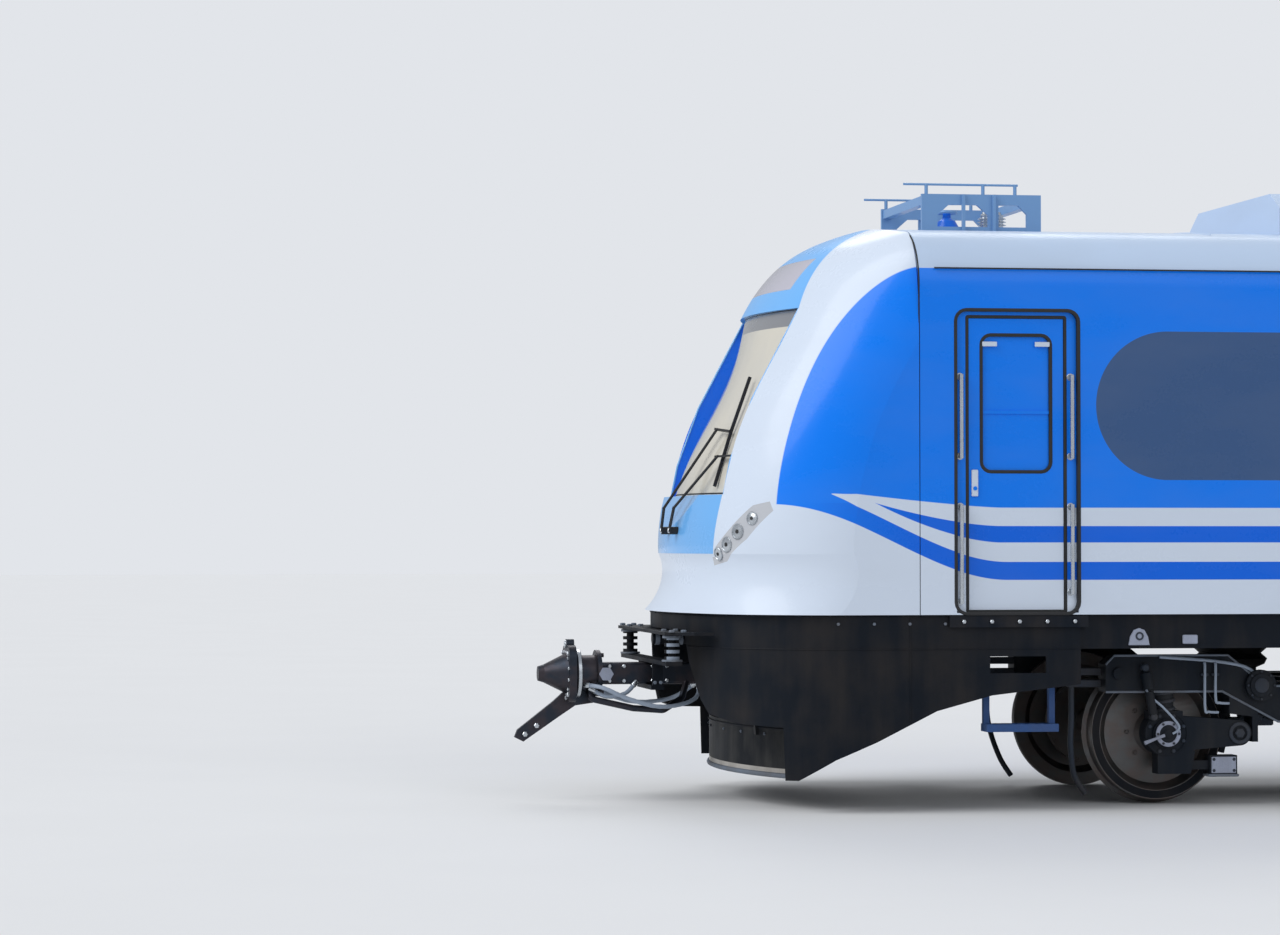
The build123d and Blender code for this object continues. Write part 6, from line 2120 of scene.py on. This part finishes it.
@dataclass
class Saloon(Piece):
    """Poles, rails, straps, lamps and seat pads inside, and the driver's controls."""

    benches: Pairs = ((7.65, 3.6), (13.95, 3.6), (20.25, 2.8))
    rail_y: float = 0.95
    flange: Pairs = ((0, 0.045), (0.01, 0.045), (0.02, 0.02))
    grip: Pairs = ((0, 0.016), (0.03, 0.026), (0.05, 0.026), (0.065, 0.016))
    strap: Pairs = (
        (-0.012, 0.0), (-0.012, -0.14), (-0.05, -0.21), (-0.04, -0.24), (0.04, -0.24),
        (0.05, -0.21), (0.012, -0.14), (0.012, 0.0),
    )

    def bay(self, surface: Surface, front: float, length: float, sign: float) -> None:
        """Rail with hand straps, and the pads of one bench, tilted towards the wall.

        Args:
            surface: Mesh to add to.
            front: Front end of the bench.
            length: Its length.
            sign: Side of the car.
        """
        rail_y = sign * self.rail_y
        x = np.linspace(back(front - 0.3), back(front + length + 0.3), 10)
        surface.tube(rows(x, rail_y, 3.15), 0.016, 10)
        along, down = np.array(self.strap).T
        for place in np.linspace(x[0] + 0.3, x[-1] - 0.3, 10):
            surface.tube(rows(place + along, rail_y, 3.14 + down), 0.007, 6, 2)
        tilt = ((1, 0, 0), (0, 1, 0), (0, sign * 0.065, 1))
        seats = np.arange(back(front) + 0.25, back(front + length) - 0.2, 0.46)
        pads = spread(seats, sign * 1.165, FLOOR_Z + 0.456)
        surface.repeat(bend(rounded_box((0.43, 0.36, 0.03), 0.01), tilt), pads, 1)

    def desk(self, finishes: "Finishes") -> None:
        """Displays, keys and controllers on the driver's desk.

        Args:
            finishes: The materials to choose from.
        """
        surface = Surface("desk_dress")
        screen = rounded_box((0.02, 0.3, 0.2), 0.006)
        case = bend(screen, ((1, 0, 0.6), (0, 1, 0), (0, 0, 1)))
        pane = bend(screen, ((0.6, 0, 0.54), (0, 0.88, 0), (0, 0, 0.86)), (0.006, 0, 0))
        y = (-0.45, -0.05, 0.45, 0.8)
        surface.repeat(case, spread(back(1.075), y, FLOOR_Z + 0.9))
        surface.repeat(pane, spread(back(1.08), y, FLOOR_Z + 0.902), 1)
        keys = spread(back((1.2, 1.25, 1.3)), np.linspace(-0.7, 0.2, 16), FLOOR_Z + 0.762)
        surface.bolts(0.012, 0.012, keys, 2, "z")
        for y in (0.38, 0.72):
            surface.lathe(self.grip, (back(1.29), y, FLOOR_Z + 0.84), (0, 0, 1), 20)
        surface.finish("car", "desk_plastic", [finishes.desk, finishes.glass, finishes.bright])

    def dress(self, finishes: "Finishes") -> None:
        """What shows through the windows and the open doors.

        Args:
            finishes: The materials to choose from.
        """
        surface = Surface("saloon_dress")
        z = np.linspace(FLOOR_Z + 0.002, 3.4, 12)
        for front in DOORWAYS:
            for x in (back(front + 0.12), back(front + DOORWAY_WIDTH - 0.12)):
                surface.tube(rows(x, 0.0, z), 0.017, 12)
                surface.lathe(self.flange, (x, 0, FLOOR_Z), (0, 0, 1), 20)
        for sign in SIDES.values():
            for front, length in self.benches:
                self.bay(surface, front, length, sign)
            lamps = spread(back(np.arange(4.2, 22.6, 1.6)), sign * 0.55, 3.68)
            surface.boxes((1.2, 0.16, 0.03), 0.008, lamps, 3)
        materials = [finishes.bright, finishes.cloth, finishes.rubber, finishes.panel]
        surface.finish("car", "bright_steel", materials)
        self.desk(finishes)


@dataclass
class RearEnd(Piece):
    """Lamps, cables, handles, tread and header plate of the rear wall and its gangway."""

    wall: float = 23.6
    lens: Pairs = ((0, 0.052), (0.012, 0.05), (0.02, 0.03), (0.022, 0))
    rail: Sequence[Place] = (
        (0.0, 1.38, 1.75), (0.06, 1.38, 1.78), (0.06, 1.38, 2.0), (0.06, 1.38, 2.62),
        (0.06, 1.38, 2.84), (0.0, 1.38, 2.87),
    )

    def half_dress(self, surface: Surface, side: Corner) -> None:
        """Lamps, sockets, jumper cables and handrail of one side.

        Args:
            surface: Mesh to add to.
            side: Side of the wall.
        """
        for lamp in side.at((0, 1.2, 3.2), (0, 1.2, 1.62)):
            surface.ring(lamp, (1, 0, 0), 0.052, 0.07, 0.024, 32, 1)
            surface.lathe(self.lens, lamp, (1, 0, 0), 28, 2)
        surface.boxes((0.07, 0.16, 0.16), 0.02, side.at(spread(0.03, (0.85, 1.1), 1.4)))
        for y, reach in ((0.85, 0.36), (1.1, 0.32)):
            route = side.at(
                (0.06, y, 1.37),
                (0.14, y, 1.3),
                (reach, y - 0.02, 1.0),
                (reach - 0.04, y - 0.08, 0.78),
                (0.12, y - 0.14, 0.86),
                (-0.1, y - 0.16, 1.0),
            )
            surface.tube(smooth_path(route, 9), 0.026, 12, 3)
        surface.tube(smooth_path(side.at(self.rail), 6), 0.014, 12, 1)

    def header(self, surface: Surface, x: float) -> None:
        """Plate that closes the arc under the roof: its outline at two depths, capped.

        Args:
            surface: Mesh to add to.
            x: X of the wall.
        """
        arc = body_line(0.03)
        foot = [(-1.46, GUTTER_Z + 0.002), (1.46, GUTTER_Z + 0.002)]
        line = np.vstack([arc[arc[:, 1] > GUTTER_Z], foot])
        surface.grid(capped(np.stack([rows(x + at, *line.T) for at in (-0.1, -0.012)])), tint=4)

    def dress(self, finishes: "Finishes") -> None:
        """Pieces on the rear wall, which faces away along +X.

        Args:
            finishes: The materials to choose from.
        """
        surface = Surface("rear_dress")
        x = back(self.wall)
        for sign in SIDES.values():
            self.half_dress(surface, Corner(x, 1, sign))
        for z in np.arange(1.55, 3.3, 0.32):
            rung = np.array([(0.0, 1.02, z), (0.055, 1.02, z), (0.055, 0.88, z), (0.0, 0.88, z)])
            surface.tube(rung + (x, 0, 0), 0.011, 8, 1)
        self.header(surface, x)
        tread = x + np.linspace(0.02, 0.29, 19)
        surface.grid(tread_plate(tread, np.linspace(-0.46, 0.46, 13), 1.325, 1.335, 0.003), tint=1)
        heads = ring_of((back(24.05) - 0.0161, 0, 0.865), 0.13, 8, "x")
        surface.bolts(0.02, 0.016, heads, 1, "x")
        materials = (finishes.dark, finishes.bright, finishes.red_lens, finishes.rubber)
        surface.finish("car", "roof_gear", (*materials, finishes.white))


@dataclass
class Outside(Piece):
    """Rain rails, door lamps, handrail feet and bolts on the painted body, and wiper caps."""

    lens: Pairs = ((-0.004, 0.03), (0.004, 0.03), (0.007, 0.022), (0.008, 0))
    cap: Pairs = ((-0.004, 0.02), (0.006, 0.02), (0.012, 0.012))
    handrails: Sequence[Place] = (
        (1.777, 2.316, 2.866), (1.777, 1.366, 2.016), (2.524, 2.316, 2.866),
        (2.524, 1.426, 2.016),
    )

    def dress(self, finishes: "Finishes") -> None:
        """Pieces on both sides, then on the wipers.

        Args:
            finishes: The materials to choose from.
        """
        surface = Surface("body_fittings")
        sag = 3.3 - 0.02 * np.abs(np.linspace(-1, 1, 14)) ** 6
        for sign in SIDES.values():
            for front in DOORWAYS:
                x = np.linspace(back(front - 0.06), back(front + DOORWAY_WIDTH + 0.06), 14)
                surface.tube(rows(x, sign * 1.551, sag), 0.007, 8)
                lamp = (back(front + DOORWAY_WIDTH / 2), sign * HALF_WIDTH, 3.4)
                surface.lathe(self.lens, lamp, (0, sign, 0), 24, 1)
            x = np.linspace(back(1.6), back(23.5), 60)
            surface.tube(rows(x, sign * 1.5495, 3.5595), 0.006, 6)
            for x, low, high in self.handrails:
                for z in (low + 0.014, high - 0.014):
                    place = (back(x), sign * 1.5195, z)
                    surface.ring(place, (0, sign, 0), 0.005, 0.024, 0.004, 20, 2)
            heads = spread(back(1.7 + 0.187 * (np.arange(5) + 0.5)), sign * 1.5515, 1.25)
            surface.bolts(0.0138, 0.0092, heads, 2, sign=sign)
        materials = [finishes.rubber, finishes.amber, finishes.bright]
        surface.finish("car", "rubber", materials)
        trim = Surface("wiper_dress")
        flat = np.array([(-0.15, 1.846), (-0.34, 1.846)])
        for place in rows(surface_x("wipers", flat), *flat.T):
            trim.lathe(self.cap, place, (-1, 0, 0), 6)
        trim.finish("car", "rubber", [finishes.bright])


@dataclass
class Studio:
    """Floor, lights and camera."""

    place: Place = (-15.771, -23.0, 1.803)
    yaw: float = 0.1406
    pitch: float = 0.0205
    lens: float = 95.14
    shift: float = 0.1
    suns: Sequence[tuple[str, Place, float, float]] = (
        ("key", (50, 0, -78), 1.9, 45.0),
        ("fill", (62, 0, 30), 0.45, 40.0),
        ("rim", (50, 0, 170), 0.6, 30.0),
    )
    floor_rings: Place = (0.0, 5.0, 20.0, 60.0, 140.0)

    def floor(self) -> None:
        """Pale floor: a flat disc of rings with a cloudy tone."""
        graph = Graph("floor_tone")
        cloudy = graph.mix(graph.noise(0.6, 3.0), srgb(219, 220, 221), srgb(223, 224, 225))
        graph.set(Base_Color=cloudy, Roughness=0.85)
        points = np.vstack([rows(*reach * circle(48).T, 0.0) for reach in self.floor_rings])
        mesh = bpy.data.meshes.new("studio_floor")
        faces = quads((len(self.floor_rings), 48))[:, ::-1]
        mesh.from_pydata(points.tolist(), [], faces.tolist())
        mesh.materials.append(graph.material)
        floor = new_object("studio_floor", mesh)

    def lights(self) -> None:
        """A broad sun from the front left, weak ones from behind, and a pale sky.

        The sky is a little brighter where the camera sees it, also through glass.
        """
        for name, turn, strength, size in self.suns:
            lamp = bpy.data.lights.new(name, "SUN")
            lamp.energy = strength
            lamp.angle = math.radians(size)
            new_object(name, lamp).rotation_euler = [math.radians(angle) for angle in turn]
        world = bpy.data.worlds.new("sky")
        world.use_nodes = True
        nodes, links = world.node_tree.nodes, world.node_tree.links
        sky, seen = nodes["Background"], nodes.new("ShaderNodeBackground")
        tones = ((sky, srgb(222, 226, 233), 0.6), (seen, srgb(226, 229, 234), 1.0))
        for node, colour, strength in tones:
            node.inputs["Color"].default_value = colour
            node.inputs["Strength"].default_value = strength
        path = nodes.new("ShaderNodeLightPath")
        either = nodes.new("ShaderNodeMath")
        either.operation = "MAXIMUM"
        links.new(path.outputs["Is Camera Ray"], either.inputs[0])
        links.new(path.outputs["Is Transmission Ray"], either.inputs[1])
        mix = nodes.new("ShaderNodeMixShader")
        for socket, node in zip(mix.inputs, (either, sky, seen)):
            links.new(node.outputs[0], socket)
        links.new(mix.outputs[0], nodes["World Output"].inputs["Surface"])
        bpy.context.scene.world = world

    def camera(self) -> None:
        """Camera at the photo's place, turned a little towards the rear of the car."""
        lens = bpy.data.cameras.new("view")
        lens.lens = self.lens
        lens.shift_x = self.shift
        lens.clip_end = 500.0
        holder = new_object("view", lens)
        holder.location = self.place
        holder.rotation_euler = (math.pi / 2 + self.pitch, 0.0, -self.yaw)
        bpy.context.scene.camera = holder
        bpy.context.scene.view_settings.view_transform = "Standard"


class Finishes:
    """All the materials, made once and shared out to the CAD nodes and the new pieces."""

    def __init__(self) -> None:
        """Makes every material."""
        livery = Livery()
        self.side = livery.side()
        self.shell = livery.shell()
        self.white = Paint("white_paint", livery.white).make()
        self.roof = Paint("roof_white", srgb(192, 211, 236), 0.34, 0.1, Wear.DIRTY).make()
        self.light = Paint("light_blue", livery.light, 0.24, 0.6).make()
        self.roof_gear = Paint("roof_gear", srgb(120, 160, 205), 0.36, 0.2).make()
        self.horn = Paint("horn_blue", srgb(28, 108, 220), 0.3, 0.2).make()
        self.signal = Paint("green_button", srgb(40, 160, 90), 0.3, 0.5, Wear.CLEAN).make()
        self.dark = Grime("underbody", srgb(12, 20, 30), amount=0.14).make()
        # pale springs: their light grey steel, and partly a painted highlight where the coils catch
        # the sun
        springs = ((LIP_X - 0.06, LIP_X + 0.06), (0.828, 0.87), (0.975, 1.148))
        self.carrier = Grime("carrier_paint", srgb(12, 20, 30), amount=0.14, spot=springs).make()
        worn_edge = ((LIP_X + 0.3, LIP_X + 0.9), (-1.0, 1.18), (0.1, 0.268))
        plough_dust, plough_edge = srgb(96, 94, 90), srgb(188, 184, 178)
        self.plough = Grime(
            "plough", srgb(12, 18, 26), plough_dust, 0.4, plough_edge, worn_edge
        ).make()
        self.bogie = Grime("bogie_paint", srgb(20, 28, 38), srgb(64, 62, 60), 0.4).make()
        self.motor = Grime("motor_paint", srgb(18, 21, 26), srgb(60, 56, 50), 0.5).make()
        threshold = ((LIP_X, -LIP_X), (1.3, 1.6), (1.15, 1.32))
        step_dark = srgb(12, 22, 34)
        self.step_blue = Grime(
            "step_paint", srgb(54, 86, 138), amount=0.2, accent=step_dark, spot=threshold
        ).make()
        self.coupler = Metal("coupler_steel", srgb(58, 64, 74), 0.42, 0.2).make()
        self.wheel = Metal("wheel_steel", srgb(112, 112, 112), 0.42, 0.3).make()
        self.bright = Metal("bright_steel", srgb(206, 212, 218), 0.26).make()
        self.rubber = Soft("black_rubber", srgb(16, 17, 20), 0.6).make()
        self.bellows = Soft("bellows_rubber", srgb(30, 31, 34), 0.75, 90.0, 0.002).make()
        self.glass = Pane("tinted_glass", srgb(30, 42, 60), 0.92).make()
        # the windscreen's glass is grey at its top: painted shade
        self.screen = Pane("cream_glass", srgb(226, 220, 204), 0.9, 0.1, shade_low=3.22).make()
        self.sign = Pane("sign_film", srgb(200, 197, 210), 0.9, 0.12).make()
        self.lamp = Pane("lamp_glass", srgb(206, 208, 212), 0.85, 0.05).make()
        self.panel = Soft("inside_panel", srgb(206, 206, 198), 0.5, 150.0, 0.0004).make()
        self.desk = Soft("desk_plastic", srgb(56, 60, 68), 0.55, 300.0, 0.0005).make()
        self.cloth = Soft("seat_cloth", srgb(30, 42, 80), 0.85, 500.0, 0.001, 0.3).make()
        self.worn = Grime("worn_edges", srgb(118, 128, 142), amount=0.4).make()
        self.gear = Grime("running_gear", srgb(56, 64, 76), srgb(84, 76, 68), 0.4).make()
        self.lug = Grime("lug_paint", srgb(168, 176, 196), amount=0.3).make()
        self.hose = Soft("pale_hose", srgb(140, 152, 168), 0.6).make()
        self.reflector = Metal("reflector", srgb(216, 222, 228), 0.22).make()
        self.amber = Paint("amber_lens", srgb(226, 138, 30), 0.2, 0.5, Wear.CLEAN).make()
        self.red_lens = Paint("red_lens", srgb(176, 26, 24), 0.2, 0.5, Wear.CLEAN).make()
        self.bench = Metal("bench_steel", srgb(176, 182, 188), 0.3).make()

    def share_out(self) -> None:
        """Gives every CAD node the material of the first line that its name starts with."""
        cases = ("traction_converter", "battery_box", "air_tanks")
        plan = (
            (self.shell, ("cab_shell",)),
            (self.screen, ("windscreen",)),
            (self.light, ("front_panel",)),
            (self.sign, ("sign_glass",)),
            (self.lamp, ("headlamps",)),
            (self.rubber, ("wipers",)),
            (self.side, ("side_", "crew_door_", "door_")),
            (self.glass, ("window_glass_",)),
            (self.horn, ("roof_horn",)),
            (self.roof_gear, ("roof_cradle",)),
            (self.roof, ("roof",)),
            (self.white, ("rear_wall",)),
            (self.bellows, ("gangway", "air_springs")),
            (self.dark, ("underframe", "front_skirt", "coupler_pocket", *cases)),
            (self.plough, ("deflector",)),
            (self.carrier, ("coupler_support",)),
            (self.coupler, ("front_coupler", "rear_coupler")),
            (self.panel, ("bulkhead",)),
            (self.desk, ("driver_desk",)),
            (self.cloth, ("driver_seat",)),
            (self.bench, ("benches",)),
            (self.step_blue, ("crew_steps",)),
            (self.bright, ("handrails",)),
            (self.bogie, ("bogie_frame", "axle_boxes")),
            (self.motor, ("motors",)),
            (self.wheel, ("wheelset",)),
        )
        for name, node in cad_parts.items():
            found = [material for material, starts in plan if name.startswith(starts)]
            if not found:
                raise ValueError(f"no finish for {name}")
            node.data.materials.clear()
            node.data.materials.append(found[0])


def main() -> None:
    """Builds and dresses the whole car, then the studio round it."""
    logging.basicConfig(level=logging.INFO, format="%(name)s: %(message)s")
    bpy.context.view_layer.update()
    finishes = Finishes()
    finishes.share_out()
    front = (BodySides(), CrewDoors(), NoseTrim(), Coupler(), Skirt(), Lamps())
    below = (Bogie("front"), Bogie("rear"), Underfloor())
    for piece in (*front, *below, RoofTop(), Saloon(), RearEnd(), Outside()):
        piece.dress(finishes)
    studio = Studio()
    studio.floor()
    studio.lights()
    studio.camera()


if __name__ == "__main__":
    main()
